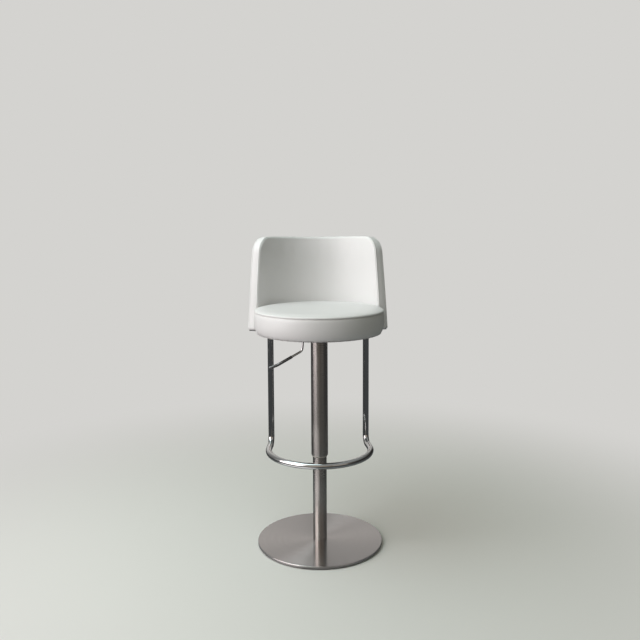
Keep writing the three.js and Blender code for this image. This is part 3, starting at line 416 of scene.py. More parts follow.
# %% Cast iron and powder coat
# Cast iron keeps the grain of the sand that it was poured in. Powder coat melts in the
# oven to a skin with a fine orange peel.
def cast_iron():
    material, tree, place = new_finish("sand_cast_iron", "#3a3835", 0.62, 0.8)
    sand_grain = 1.4 * MM
    sand = add(tree, "TexNoise", {"Scale": 1 / sand_grain, "Detail": 3.0}, {"Vector": place})
    bump = add(tree, "Bump", {"Strength": 0.6, "Distance": 0.4 * MM}, {"Height": sand.outputs["Fac"]})
    return joined(material, Normal=bump.outputs[0])


def powder_coat():
    material, tree, place = new_finish("black_powder_coat", "#1b1b1c", 0.42, 0.0)
    peel_width = 1.2 * MM
    peel = add(tree, "TexNoise", {"Scale": 1 / peel_width, "Detail": 1.0}, {"Vector": place})
    rough = add(tree, "MapRange", {"To Min": 0.34, "To Max": 0.52}, {"Value": peel.outputs["Fac"]})
    bump = add(tree, "Bump", {"Strength": 0.35, "Distance": 0.12 * MM}, {"Height": peel.outputs["Fac"]})
    return joined(material, Roughness=rough.outputs[0], Normal=bump.outputs[0])


# %% [markdown]
# ## Leatherette
# The cover is a PVC leatherette: a white plastic skin rolled with a fine pebble grain on
# a knitted backing. Its gloss is low and even, the pebbles are under a millimetre, and
# the foam under it lets the skin lie in very soft waves. Cells from a Voronoi texture
# make the pebbles, and two slow noises the waves and the uneven tone.


# %% White leatherette
def leatherette(name, light, shade, gloss):
    material, tree, place = new_finish(
        name, light, gloss, 0.0, Sheen_Weight=0.08, Sheen_Roughness=0.4, Coat_Weight=0.06,
        Coat_Roughness=0.35,
    )
    pebble = 0.75 * MM
    warp_width = 3.3 * MM
    warp_shift = 0.7 * MM
    wave_width = 71.4 * MM
    cloud_width = 167 * MM
    warp = add(tree, "TexNoise", {"Scale": 1 / warp_width, "Detail": 2.0}, {"Vector": place})
    bent = add(tree, "VectorMath", {"operation": "MULTIPLY_ADD", 1: [warp_shift] * 3},
               {0: warp.outputs["Color"], 2: place})
    cells = add(tree, "TexVoronoi", {"feature": "DISTANCE_TO_EDGE", "Scale": 1 / pebble},
                {"Vector": bent.outputs["Vector"]})
    creases = add(tree, "MapRange", {"From Max": 0.16}, {"Value": cells.outputs["Distance"]})
    waves = add(tree, "TexNoise", {"Scale": 1 / wave_width, "Detail": 2.0}, {"Vector": place})
    cloud = add(tree, "TexNoise", {"Scale": 1 / cloud_width, "Detail": 5.0, "Roughness": 0.6},
                {"Vector": place})
    tone = add(tree, "Mix", {"data_type": "RGBA", 6: linear(shade), 7: linear(light)},
               {0: cloud.outputs["Fac"]})
    rough = add(tree, "MapRange", {"To Min": gloss + 0.07, "To Max": gloss - 0.04},
                {"Value": creases.outputs[0]})
    wave_bump = add(tree, "Bump", {"Strength": 0.25, "Distance": 0.7 * MM}, {"Height": waves.outputs["Fac"]})
    bump = add(tree, "Bump", {"Strength": 0.22, "Distance": 0.07 * MM},
               {"Height": creases.outputs[0], "Normal": wave_bump.outputs[0]})
    return joined(material, Base_Color=tone.outputs[2], Roughness=rough.outputs[0], Normal=bump.outputs[0])


# %% Sewing thread
# Bonded thread is twisted from plies, which show as fine dark and light bands.
def thread():
    material, tree, place = new_finish("bonded_thread", "#bdbbb4", 0.6, 0.0, Sheen_Weight=0.3)
    ply_width = 1.1 * MM
    ply = add(tree, "TexWave", {"Scale": 1 / ply_width, "Distortion": 0.4}, {"Vector": place})
    bump = add(tree, "Bump", {"Strength": 0.4, "Distance": 0.1 * MM}, {"Height": ply.outputs["Fac"]})
    tone = add(tree, "Mix", {"data_type": "RGBA", 6: linear("#a09e98"), 7: linear("#c9c7c0")},
               {0: ply.outputs["Fac"]})
    return joined(material, Base_Color=tone.outputs[2], Normal=bump.outputs[0])


# %% Black dust-cover cloth
# Spun-bonded cloth: short fibres pressed together with a small square pattern. The fibres
# are drawn coarser than the real ones, so that they show.
def dust_cloth():
    material, tree, place = new_finish("spunbond_dust_cloth", "#17171a", 0.9, 0.0, Sheen_Weight=0.35)
    press_pitch = 1.6 * MM
    fibre_width = 1.1 * MM
    fibres = add(tree, "TexNoise", {"Scale": 1 / fibre_width, "Detail": 5.0, "Roughness": 0.7},
                 {"Vector": place})
    pressed = add(tree, "TexVoronoi", {"Scale": 1 / press_pitch, "Randomness": 0.15}, {"Vector": place})
    height = add(tree, "Math", {"operation": "MULTIPLY"},
                 {0: fibres.outputs["Fac"], 1: pressed.outputs["Distance"]})
    tone = add(tree, "Mix", {"data_type": "RGBA", 6: linear("#101012"), 7: linear("#26262a")},
               {0: height.outputs[0]})
    bump = add(tree, "Bump", {"Strength": 0.7, "Distance": 0.25 * MM}, {"Height": height.outputs[0]})
    return joined(material, Base_Color=tone.outputs[2], Normal=bump.outputs[0])


# %% Plywood, foam rubber and moulded plastics
# Plywood shows the bands of its veneers at its edge and the fibre along it, foam rubber
# its pores, and a moulded plastic the fine spark texture of its mould.
def plywood():
    material, tree, place = new_finish("birch_plywood", "#c2a073", 0.66, 0.0)
    veneer = 1.4 * MM
    waves_per_veneer = 0.31
    fibre_length = 83 * MM
    fibre_width = 3.8 * MM
    layers = add(
        tree, "TexWave",
        {"bands_direction": "Z", "Scale": waves_per_veneer / veneer, "Distortion": 0.6}, {"Vector": place},
    )
    fibre = add(tree, "Mapping", {"Scale": (1 / fibre_length, 1 / fibre_width, 1 / fibre_width)},
                {"Vector": place})
    grain = add(tree, "TexNoise", {"Scale": 1.0, "Detail": 5.0}, {"Vector": fibre.outputs[0]})
    figure = add(tree, "Math", {"operation": "MULTIPLY"}, {0: layers.outputs["Fac"], 1: grain.outputs["Fac"]})
    tone = add(tree, "Mix", {"data_type": "RGBA", 6: linear("#8d6a41"), 7: linear("#d0b184")},
               {0: figure.outputs[0]})
    return joined(material, Base_Color=tone.outputs[2])


def foam_rubber():
    material, tree, place = new_finish("black_foam_rubber", "#141414", 0.92, 0.0)
    pore_width = 1.1 * MM
    pores = add(tree, "TexVoronoi", {"Scale": 1 / pore_width}, {"Vector": place})
    bump = add(tree, "Bump", {"Strength": 0.6, "Distance": 0.3 * MM}, {"Height": pores.outputs["Distance"]})
    return joined(material, Normal=bump.outputs[0])


def moulded_plastic(name, base, roughness, texture_depth, index=1.5):
    material, tree, place = new_finish(name, base, roughness, 0.0, IOR=index)
    spark_width = 0.67 * MM
    spark = add(tree, "TexNoise", {"Scale": 1 / spark_width, "Detail": 2.0}, {"Vector": place})
    rough = add(tree, "MapRange", {"To Min": roughness - 0.05, "To Max": roughness + 0.07},
                {"Value": spark.outputs["Fac"]})
    bump = add(tree, "Bump", {"Strength": 0.4, "Distance": texture_depth}, {"Height": spark.outputs["Fac"]})
    return joined(material, Roughness=rough.outputs[0], Normal=bump.outputs[0])


# %% Every finish, and the bare nodes
# Each piece that keeps its construction mesh takes the finish of its record slot here.
# The grip is lacquered, and its high index gives it the lacquer's bright edge.
finishes = {
    "brushed_stainless": turned_stainless(),
    "polished_chrome": polished_chrome(),
    "ground_steel": ground_steel(),
    "zinc_steel": zinc_plate(),
    "cast_iron": cast_iron(),
    "black_enamel": powder_coat(),
    "floor_rubber": foam_rubber(),
    "black_lining": dust_cloth(),
    "grey_nylon": moulded_plastic("natural_nylon", "#b9b6ae", 0.45, 0.03 * MM),
    "black_nylon": moulded_plastic("black_nylon", "#1f1f20", 0.5, 0.03 * MM),
    "grip_plastic": moulded_plastic("gloss_lacquered_grip", "#3c3c3d", 0.12, 0.002 * MM, 2.1),
    "plywood": plywood(),
    "white_leatherette": leatherette("white_pvc_leatherette", leatherette_white, "#e1dfdf", 0.42),
    "white_piping": leatherette("white_pvc_welt", "#e6e4e4", "#dddbdb", 0.46),
}
extra_finishes = {
    "cover": satin_tube("satin_stainless_cover", roughness=0.28, evenness=0.8),
    "column": satin_tube("satin_stainless_column", roughness=0.24, evenness=0.9),
    "thread": thread(),
}
for row in frame["record"]["subparts"]:
    for material_slot in frame["nodes"][row["node"]].material_slots:
        material_slot.material = finishes[row["material_slot"]]
print(len(finishes) + len(extra_finishes), "finishes on", len(frame["nodes"]), "nodes")

# %% [markdown]
# ## From a mesh in the making to a piece
# Every new piece ends the same way: its normals are made to point out, edges sharper than
# a given angle stay crisp while the rest is shaded smooth, and it takes the body and the
# slot of the construction node that it dresses.

# %% Finishing a piece
crisp_angle = math.radians(32)
bodies = frame["record"]["behaviour"]["bodies"]
body_of_node = {node: body for body, nodes in bodies.items() for node in nodes}
slot_of_node = {row["node"]: row["material_slot"] for row in frame["record"]["subparts"]}


def as_piece(bm, name, node, material=None):
    bmesh.ops.recalc_face_normals(bm, faces=bm.faces)
    for face in bm.faces:
        face.smooth = True
    for edge in bm.edges:
        edge.smooth = edge.calc_face_angle(0) < crisp_angle
    mesh = bpy.data.meshes.new(name)
    bm.to_mesh(mesh)
    bm.free()
    piece = bpy.data.objects.new(name, mesh)
    scene.collection.objects.link(piece)
    slot = slot_of_node[node]
    mesh.materials.append(material or finishes[slot])
    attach(piece, body_of_node[node])
    return piece


def ease(bm, width, limit=crisp_angle, segments=2):
    sharp = [edge for edge in bm.edges if edge.calc_face_angle(0) > limit]
    bmesh.ops.bevel(
        bm, geom=sharp, offset=width, affect="EDGES", segments=segments, profile=0.5, material=-1,
        clamp_overlap=True,
    )


print("edges under", round(math.degrees(crisp_angle)), "degrees are shaded smooth")

# %% [markdown]
# ## Turned pieces
# A disc, a tube or a bush is a profile turned about the column's axis, which is just what
# the spin operator does: it sweeps a few edges round and closes the last step on the first.
# Its sharp edges are then eased with a small bevel, as a lathe or a deburring wheel does.


# %% Spinning a profile
def turned(profile, steps, closed=True):
    bm = bmesh.new()
    points = [bm.verts.new((radius, 0, height)) for radius, height in profile]
    after = points[1:] + points[:1] if closed else points[1:]
    edges = [bm.edges.new(pair) for pair in zip(points, after)]
    bmesh.ops.spin(
        bm, geom=points + edges, cent=(0, 0, 0), axis=UP, angle=2 * math.pi, steps=steps, use_merge=True,
    )
    bmesh.ops.remove_doubles(bm, verts=bm.verts, dist=merge_distance)
    return bm


def ring_profile(node, wall):
    low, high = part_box(node)
    return [(high.x - wall, low.z), (high.x, low.z), (high.x, high.z), (high.x - wall, high.z)]


# %% The base disc
# The skin is a flat sheet pressed over the weight, with its rim rolled down. The rim ends
# above the floor, which leaves the dark gap that shows under the disc.
cover_low, cover_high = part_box("base_cover")
skin = 1.5 * MM
rim_round = 2.2 * MM
stud_hole = 10.6 * MM
base_bm = turned([
    (stud_hole, cover_high.z), (cover_high.x, cover_high.z), (cover_high.x, cover_low.z),
    (cover_high.x - skin, cover_low.z), (cover_high.x - skin, cover_high.z - skin),
    (stud_hole, cover_high.z - skin),
], steps=256)
rim_edges = [
    edge for edge in base_bm.edges
    if all(v.co.z > cover_high.z - tolerance and v.co.xy.length > 0.9 * cover_high.x for v in edge.verts)
    and edge.calc_face_angle(0) > crisp_angle
]
bmesh.ops.bevel(
    base_bm, geom=rim_edges, offset=rim_round, affect="EDGES", segments=6, profile=0.5, material=-1,
)
base_disc = as_piece(base_bm, "base_disc", "base_cover")
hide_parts("base_cover")

pad_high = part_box("floor_pad")[1]
pad_profile = [(0, 0), (pad_high.x, 0), (pad_high.x, pad_high.z), (0, pad_high.z)]
pad_bm = turned(pad_profile, steps=192, closed=False)
ease(pad_bm, 0.8 * MM)
floor_ring = as_piece(pad_bm, "floor_ring_pad", "floor_pad")
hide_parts("floor_pad")
print("disc is", round(2 * cover_high.x / MM), "mm across")

# %% The column and its cover tube
column_bm = turned(ring_profile("column_tube", wall=2 * MM), steps=96)
ease(column_bm, 0.35 * MM)
column = as_piece(column_bm, "column", "column_tube", extra_finishes["column"])
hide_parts("column_tube")

# The cover's lower end is tucked in by a roller, so it closes neatly round its plastic ring.
tube_low, tube_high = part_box("cover_tube")
tube_wall = 1.5 * MM
tuck = 3.0 * MM
tuck_steps = 5
tuck_angle = math.radians(60)
outer_tuck = [
    (tube_high.x - tuck + tuck * math.cos(a), tube_low.z + tuck - tuck * math.sin(a))
    for a in [tuck_angle * i / tuck_steps for i in range(tuck_steps + 1)]
]
bore_tuck = tuck - tube_wall
inner_tuck = [
    (tube_high.x - tuck + bore_tuck * math.cos(a), tube_low.z + tuck - bore_tuck * math.sin(a))
    for a in [tuck_angle * i / tuck_steps for i in range(tuck_steps, -1, -1)]
]
sleeve_bm = turned(
    [(tube_high.x, tube_high.z), *outer_tuck, *inner_tuck, (tube_high.x - tube_wall, tube_high.z)], steps=96,
)
sleeve = as_piece(sleeve_bm, "cover_sleeve", "cover_tube", extra_finishes["cover"])
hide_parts("cover_tube")

guide_low, guide_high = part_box("cover_guide_ring")
guide_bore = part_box("column_tube")[1].x + 0.3 * MM
guide_lip = 27.45 * MM
guide_bm = turned([
    (guide_bore, guide_low.z), (guide_lip, guide_low.z), (guide_lip, tube_low.z + tuck),
    (guide_high.x, tube_low.z + 2 * tuck), (guide_high.x, guide_high.z), (guide_bore, guide_high.z),
], steps=96)
ease(guide_bm, 0.4 * MM)
guide_ring = as_piece(guide_bm, "guide_ring", "cover_guide_ring")
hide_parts("cover_guide_ring")
print("cover tube runs from", round(tube_low.z / MM), "to", round(tube_high.z / MM), "mm")

# %% [markdown]
# ## Bent tubes
# A tube bender pushes a tube forward and rolls it round a former, again and again. The
# extrude and spin operators do the same to a circle: extrude makes each straight run, and
# spin about the former's centre makes each bend, so the section never pinches.


# %% A tube bender
def bent_tube(corners, bends, radius, sides, step_angle):
    bm = bmesh.new()
    heading = (corners[1] - corners[0]).normalized()
    facing = heading.to_track_quat("Z", "Y").to_matrix().to_4x4()
    bmesh.ops.create_circle(
        bm, cap_ends=True, segments=sides, radius=radius, matrix=Matrix.Translation(corners[0]) @ facing,
    )
    rim = list(bm.edges)
    here = corners[0]

    def push(target):
        made = bmesh.ops.extrude_edge_only(bm, edges=rim)["geom"]
        moved = [g for g in made if isinstance(g, bmesh.types.BMVert)]
        bmesh.ops.translate(bm, verts=moved, vec=target - here)
        edges = [g for g in made if isinstance(g, bmesh.types.BMEdge)]
        rim[:] = [edge for edge in edges if all(v in moved for v in edge.verts)]

    for corner, after, bend in zip(corners[1:-1], corners[2:], bends):
        heading = (corner - here).normalized()
        leaving = (after - corner).normalized()
        turn = heading.angle(leaving)
        start = corner - heading * bend * math.tan(turn / 2)
        push(start)
        axis = heading.cross(leaving).normalized()
        centre = start + axis.cross(heading) * bend
        steps = max(2, math.ceil(turn / step_angle))
        swept = bmesh.ops.spin(
            bm, geom=rim + list({v for edge in rim for v in edge.verts}), cent=centre, axis=axis,
            angle=turn, steps=steps, use_merge=False,
        )
        rim[:] = [g for g in swept["geom_last"] if isinstance(g, bmesh.types.BMEdge)]
        here = corner + leaving * bend * math.tan(turn / 2)
    push(corners[-1])
    bmesh.ops.edgeloop_fill(bm, edges=rim)
    bmesh.ops.remove_doubles(bm, verts=bm.verts, dist=merge_distance)
    return bm


# %% The footrest
# One 22 mm tube makes the whole footrest: down from one flange, round the front and up to
# the other. Its ring is drawn about the column's axis, and a short straight joins the ring
# to the bend at the foot of each upright.
flange_low, flange_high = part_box("footrest_flange_right")
upright_x = (flange_low.x + flange_high.x) / 2
upright_y = (flange_low.y + flange_high.y) / 2
rest_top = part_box("footrest_tube")[1].z
foot_tube_radius = 11 * MM
ring_radius = 183 * MM
ring_level = 343 * MM
upright_bend = 30 * MM
upright_reach = math.hypot(upright_x, upright_y)
meeting_angle = math.atan2(upright_y, upright_x) - math.acos(ring_radius / upright_reach)
front_x = ring_radius * math.tan((math.pi / 2 + meeting_angle) / 2)
rest_corners = [
    Vector(corner) for corner in (
        (-upright_x, upright_y, rest_top), (-upright_x, upright_y, ring_level),
        (-front_x, -ring_radius, ring_level), (front_x, -ring_radius, ring_level),
        (upright_x, upright_y, ring_level), (upright_x, upright_y, rest_top),
    )
]
rest_bm = bent_tube(
    rest_corners, [upright_bend, ring_radius, ring_radius, upright_bend], foot_tube_radius, sides=40,
    step_angle=math.radians(3),
)
footrest = as_piece(rest_bm, "footrest", "footrest_tube")
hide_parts("footrest_tube")
print("footrest ring is", round(2 * (ring_radius + foot_tube_radius) / MM), "mm across")

# %% The lever
# The lever is an 8 mm rod. It lies on the gas lift's button, leaves the pan through a slot,
# drops, and runs out to a grip that a sitter finds with the right hand.
lever_level = 758 * MM
lever_rod_radius = 4 * MM
lever_corners = [
    Vector((x, 0, z)) for x, z in (
        (5 * MM, lever_level), (-55.8 * MM, lever_level), (-60.5 * MM, 703 * MM),
        (-150 * MM, 652 * MM), (-174.5 * MM, 643.3 * MM),
    )
]
knee_bend = 60 * MM
lever_bends = [12 * MM, 20 * MM, knee_bend]
rod_bm = bent_tube(lever_corners, lever_bends, lever_rod_radius, sides=28, step_angle=math.radians(4))
lever = as_piece(rod_bm, "lever", "lever_rod")
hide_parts("lever_rod")

# The grip is a soft-cornered sleeve over the last stretch, with the same knee as the rod.
grip_radius = 5.3 * MM
bare_share = 0.4
grip_start = lever_corners[2].lerp(lever_corners[3], bare_share)
grip_tip = Vector((-178.5 * MM, 0, 641.9 * MM))
grip_bm = bent_tube(
    [grip_start, lever_corners[3], grip_tip], [knee_bend], grip_radius, sides=32, step_angle=math.radians(2),
)
ease(grip_bm, 1.6 * MM, limit=math.radians(60), segments=4)
grip = as_piece(grip_bm, "grip", "lever_grip")
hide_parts("lever_grip")
print("lever reaches", round(-grip_tip.x / MM), "mm to the side")

# %% [markdown]
# ## Pressed and cut plates
# The seat plate, the flanges, the cradle and the straps keep their construction shape.
# Raw, their edges would be knife-sharp and catch no light, so a copy of each mesh is
# merged and every sharp edge gets a small bevel, as stamping and tumbling leave it.


# %% Crisp copies
def deburred(node, name, width):
    bm = bmesh.new()
    bm.from_mesh(frame["nodes"][node].data)
    bmesh.ops.remove_doubles(bm, verts=bm.verts, dist=merge_distance)
    bmesh.ops.dissolve_limit(bm, angle_limit=math.radians(1), verts=bm.verts, edges=bm.edges)
    ease(bm, width, limit=math.radians(40))
    piece = as_piece(bm, name, node)
    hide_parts(node)


plates = [
    ("footrest_flange_left", "flange_left", 0.7), ("back_bracket_left", "back_strap_left", 0.5),
    ("footrest_flange_right", "flange_right", 0.7), ("back_bracket_right", "back_strap_right", 0.5),
    ("seat_plate", "pressed_seat_plate", 0.4), ("lever_cradle", "lever_cradle_bracket", 0.3),
]
for node, name, bevel_width in plates:
    deburred(node, name, bevel_width * MM)
print("deburred plates:", len(plates))

# %% Weld beads
# Each upright is welded to its flange, so a small bead runs round the joint.
bead_radius = 1.8 * MM
bead_bm = bmesh.new()
for sign in (-1, 1):
    bead = bmesh.ops.create_circle(
        bead_bm, segments=10, radius=bead_radius,
        matrix=Matrix.Translation((sign * upright_x + foot_tube_radius, upright_y, rest_top - bead_radius))
        @ Matrix.Rotation(math.pi / 2, 4, "X"),
    )["verts"]
    bead_edges = list({edge for vert in bead for edge in vert.link_edges})
    bmesh.ops.spin(
        bead_bm, geom=bead + bead_edges, cent=(sign * upright_x, upright_y, 0), axis=UP,
        angle=2 * math.pi, steps=48, use_merge=True,
    )
for vert in bead_bm.verts:
    vert.co += random.uniform(-0.15, 0.15) * MM * UP
as_piece(bead_bm, "weld_beads", "footrest_tube")
print("weld beads are", round(bead_radius / MM, 1), "mm in radius")


# %% Button-head screws
# The twelve screws under the seat have domed heads with a hexagon socket. The head is
# turned, and the socket's round wall is then drawn in to a hexagon.
def button_screw(name, node):
    low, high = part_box(node)
    middle = (low + high) / 2
    head = (high.x - low.x) / 2
    shank = 2.5 * MM
    head_height = 2.6 * MM
    socket = 1.55 * MM
    corner_reach = 1.15
    bm = turned([
        (0, low.z + 1.7 * MM), (socket, low.z + 1.7 * MM), (socket, low.z + 0.1 * MM),
        (socket + 0.5 * MM, low.z), (head * 0.62, low.z + 0.25 * MM), (head * 0.88, low.z + 1.0 * MM),
        (head, low.z + head_height - 0.4 * MM), (head, low.z + head_height), (shank, low.z + head_height),
        (shank, high.z), (0, high.z),
    ], steps=24, closed=False)
    for vert in bm.verts:
        if abs(vert.co.xy.length - socket) < merge_distance:
            angle = math.atan2(vert.co.y, vert.co.x) % (math.pi / 3) - math.pi / 6
            stretch = math.cos(math.pi / 6) / math.cos(angle)
            vert.co.x *= stretch * corner_reach
            vert.co.y *= stretch * corner_reach
    bmesh.ops.translate(bm, verts=bm.verts, vec=(middle.x, middle.y, 0))
    piece = as_piece(bm, name, node)
    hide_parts(node)


screws = [(kind, number) for kind in ("plate", "flange", "bracket") for number in range(1, 5)]
for kind, number in screws:
    button_screw(f"{kind}_button_screw_{number}", f"{kind}_screw_{number}")
print("button-head screws:", len(screws))

# %% [markdown]
# ## Padded pieces
# Foam under a tight skin swells a little between its seams. A cloth simulation with air
# pressure gives just that: the seams are pinned, the skin between them is free, and a cap
# keeps every point near its place, because a real cover can't stretch far. Each simulated
# piece starts slightly smaller than its foam and swells to size.

# %% Swelling between seams
# The cloth's steps are evened out afterwards: each point takes on half of what its
# neighbours did, again and again, which leaves a smooth swelling and no wrinkles.
swell_frames = 20
even_passes = 14
even_share = 0.5


def swell(piece, pinned, pressure, cap):
    rest = [v.co.copy() for v in piece.data.vertices]
    seams = piece.vertex_groups.new(name="seams")
    for weight in sorted(set(pinned)):
        seams.add([i for i, w in enumerate(pinned) if w == weight], weight, "REPLACE")
    cloth = piece.modifiers.new("foam", "CLOTH")
    settings = cloth.settings
    # The skin is stiffer than cloth, and strong air drag lets it settle in the frames given.
    settings.quality = 5
    settings.mass = 0.4
    settings.tension_stiffness = 18
    settings.compression_stiffness = 18
    settings.shear_stiffness = 8
    settings.bending_stiffness = 3
    settings.air_damping = 4
    settings.use_pressure = True
    settings.uniform_pressure_force = pressure
    settings.effector_weights.gravity = 0
    settings.vertex_group_mass = seams.name
    cloth.collision_settings.use_collision = False
    cloth.point_cache.frame_start = 1
    cloth.point_cache.frame_end = swell_frames
    for number in range(1, swell_frames + 1):
        scene.frame_set(number)
    graph = bpy.context.evaluated_depsgraph_get()
    swollen = [v.co.copy() for v in piece.evaluated_get(graph).data.vertices]
    piece.modifiers.remove(cloth)
    piece.vertex_groups.clear()
    scene.frame_set(1)
    steps = [end - start for start, end in zip(rest, swollen)]
    beside = [[] for _ in steps]
    for edge in piece.data.edges:
        a, b = edge.vertices
        beside[a].append(b)
        beside[b].append(a)
    for _ in range(even_passes):
        steps = [
            step * (1 - even_share) + sum((steps[i] for i in near), Vector()) * (even_share / len(near))
            if pin < 1 else step
            for step, near, pin in zip(steps, beside, pinned)
        ]
    for vertex, start, step in zip(piece.data.vertices, rest, steps):
        vertex.co = start + step * min(1.0, cap / max(step.length, 0.001 * MM))
    return min(cap, max(step.length for step in steps))


def subdivided(piece, levels):
    modifier = piece.modifiers.new("finer", "SUBSURF")
    modifier.levels = levels
    modifier.render_levels = levels


# %% [markdown]
# ## The seat cushion
# The cushion is a round top panel sewn to a side band, with a welt in the seam. The skin
# draws the foam in a little. The top rolls over at its edge, and the band is fullest at its
# middle and curls under the seat, where it is stapled to the board. The profile is spun as
# a coarse cage and subdivided.

# %% Seat cushion
cushion_low, cushion_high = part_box("seat_cushion")
drawn_in = 5.5 * MM
seat_radius = cushion_high.x - drawn_in
board_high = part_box("seat_board")[1]
foot_radius = board_high.x + 1.5 * MM
welt_radius = 2.4 * MM
welt_circle = seat_radius - 4 * MM
welt_level = 848.2 * MM
band_low = cushion_low.z
band_rise = welt_level - welt_radius - band_low
band_reach = seat_radius - foot_radius
band_shares = [
    (0.0, 0.004), (0.17, 0.03), (0.34, 0.07), (0.54, 0.13), (0.7, 0.205), (0.845, 0.307), (0.945, 0.437),
    (0.99, 0.573), (0.98, 0.71), (0.94, 0.82), (0.86, 0.91), (0.74, 0.97), (0.62, 0.99),
]
band = [(foot_radius + out * band_reach, band_low + up * band_rise) for out, up in band_shares]
groove = [(welt_circle - 1.6 * MM, welt_level - 1.2 * MM), (welt_circle - 2.4 * MM, welt_level + 0.6 * MM)]
roll_start = welt_level + 2.2 * MM
crown_height = cushion_high.z - roll_start + 0.3 * MM
crown_shares = [
    (1.004, 0.0), (1.003, 0.2), (0.992, 0.42), (0.968, 0.61), (0.93, 0.76), (0.87, 0.87), (0.78, 0.93),
    (0.64, 0.965), (0.48, 0.985), (0.32, 0.995), (0.16, 1.0), (0.05, 1.0),
]
crown = [(welt_circle * out, roll_start + crown_height * up) for out, up in crown_shares]
pocket = board_high.x + 0.3 * MM
pocket_top = board_high.z + 0.3 * MM
cushion_bm = turned(
    [(0.05 * welt_circle, pocket_top), (pocket, pocket_top), (pocket, band_low), *band, *groove, *crown],
    steps=112, closed=False,
)
for level in (pocket_top, roll_start + crown_height):
    rims = [edge for edge in cushion_bm.edges if edge.is_boundary and abs(edge.verts[0].co.z - level) < MM]
    bmesh.ops.contextual_create(cushion_bm, geom=rims)
print("cushion's cage has", len(cushion_bm.faces), "faces")

# %% The cushion's seam, its pins and its swelling
seam_slack = 0.25 * MM
stapled_height = 22 * MM
band_top = band[-1][1]


def on_seam(vert):
    return band_top - tolerance < vert.co.z < roll_start + tolerance


for vert in cushion_bm.verts:
    if on_seam(vert):
        vert.co += vert.co.xy.normalized().to_3d() * random.uniform(-seam_slack, seam_slack)
pins = []
for vert in cushion_bm.verts:
    outside = vert.co.xy.length > foot_radius + 0.5 * MM or vert.co.z > roll_start + 0.5 * MM
    near_staples = max(0.0, 1 - (vert.co.z - band_low) / stapled_height)
    pins.append(1.0 if on_seam(vert) or not outside else round(near_staples, 2))
cushion = as_piece(cushion_bm, "seat_foam", "seat_cushion")
seat_swelling = swell(cushion, pins, pressure=3.2, cap=2.6 * MM)
print("seat swells by", round(seat_swelling / MM, 2), "mm")
subdivided(cushion, levels=1)
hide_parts("seat_cushion")

# %% The seat's welt
# The welt is a cord wrapped in the same skin, sewn on by hand, so it wanders very slightly
# up and down.
welt_sides = 14
welt_wander = 0.12 * MM
welt_bm = turned([
    (welt_circle + welt_radius * math.cos(2 * math.pi * i / welt_sides),
     welt_level + welt_radius * math.sin(2 * math.pi * i / welt_sides))
    for i in range(welt_sides)
], steps=224)
for vert in welt_bm.verts:
    around = math.atan2(vert.co.y, vert.co.x)
    vert.co.z += welt_wander * math.sin(37 * around) * math.sin(11 * around)
welt = as_piece(welt_bm, "seat_welt", "seat_piping")
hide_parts("seat_piping")
print("welt runs round", round(2 * math.pi * welt_circle / MM), "mm")


# %% Stitches
# A row of stitches runs just under the welt. Each stitch is a short flattened bead of
# thread, laid on the skin where a ray from outside meets it, and half sunk into it.
def stitch_row(name, spots, length, thickness, node):
    bm = bmesh.new()
    for place, along, normal in spots:
        side = along.cross(normal).normalized()
        turn = Matrix((along.normalized(), side, normal.normalized())).transposed().to_4x4()
        shape = Matrix.Diagonal((length / 2, thickness / 2, thickness / 2.6, 1))
        bmesh.ops.create_uvsphere(
            bm, u_segments=8, v_segments=6, radius=1.0, matrix=Matrix.Translation(place) @ turn @ shape,
        )
    as_piece(bm, name, node, extra_finishes["thread"])


bpy.context.view_layer.update()
skin_tree = BVHTree.FromObject(cushion, bpy.context.evaluated_depsgraph_get())
stitch_pitch = 6.5 * MM
stitch_level = band_top - 1.2 * MM
stitch_count = int(2 * math.pi * seat_radius / stitch_pitch)
seat_stitches = []
for index in range(stitch_count):
    angle = 2 * math.pi * index / stitch_count
    outward = Vector((math.cos(angle), math.sin(angle), 0))
    hit, normal, _, _ = skin_tree.ray_cast(outward * 2 * seat_radius + UP * stitch_level, -outward)
    if hit:
        seat_stitches.append((hit - normal * 0.05 * MM, UP.cross(outward), normal))
stitch_row("seat_stitches", seat_stitches, length=4.6 * MM, thickness=1.0 * MM, node="seat_piping")
print("stitches under the welt:", len(seat_stitches))

# %% The hem under the seat
# The skin is turned under the board and gathered there into small pleats.
lining_low, lining_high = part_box("seat_lining")
hem_inner = board_high.x - 20 * MM
hem_low = lining_high.z - 1.3 * MM
pleats = 60
pleat_depth = 0.35 * MM
hem_bm = turned([
    (hem_inner, hem_low), (hem_inner + 10 * MM, hem_low), (foot_radius - 1.2 * MM, hem_low),
    (foot_radius + 0.6 * MM, hem_low + 0.5 * MM), (foot_radius + 0.8 * MM, lining_high.z),
    (hem_inner, lining_high.z),
], steps=240)
for vert in hem_bm.verts:
    if vert.co.z < hem_low + tolerance:
        around = math.atan2(vert.co.y, vert.co.x)
        vert.co.z -= pleat_depth * (1 + math.sin(pleats * around + 2 * math.sin(7 * around)))
as_piece(hem_bm, "seat_cover_hem", "seat_cushion")

# %% The seat's lining and its staples
lining_radius = board_high.x - 8 * MM
lining_top = hem_low - 0.8 * MM
lining_bm = turned([
    (0, lining_low.z), (lining_radius, lining_low.z), (lining_radius, lining_top), (0, lining_top),
], steps=144, closed=False)
ease(lining_bm, 0.7 * MM, segments=3)
lining = as_piece(lining_bm, "seat_dust_cover", "seat_lining")
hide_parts("seat_lining")

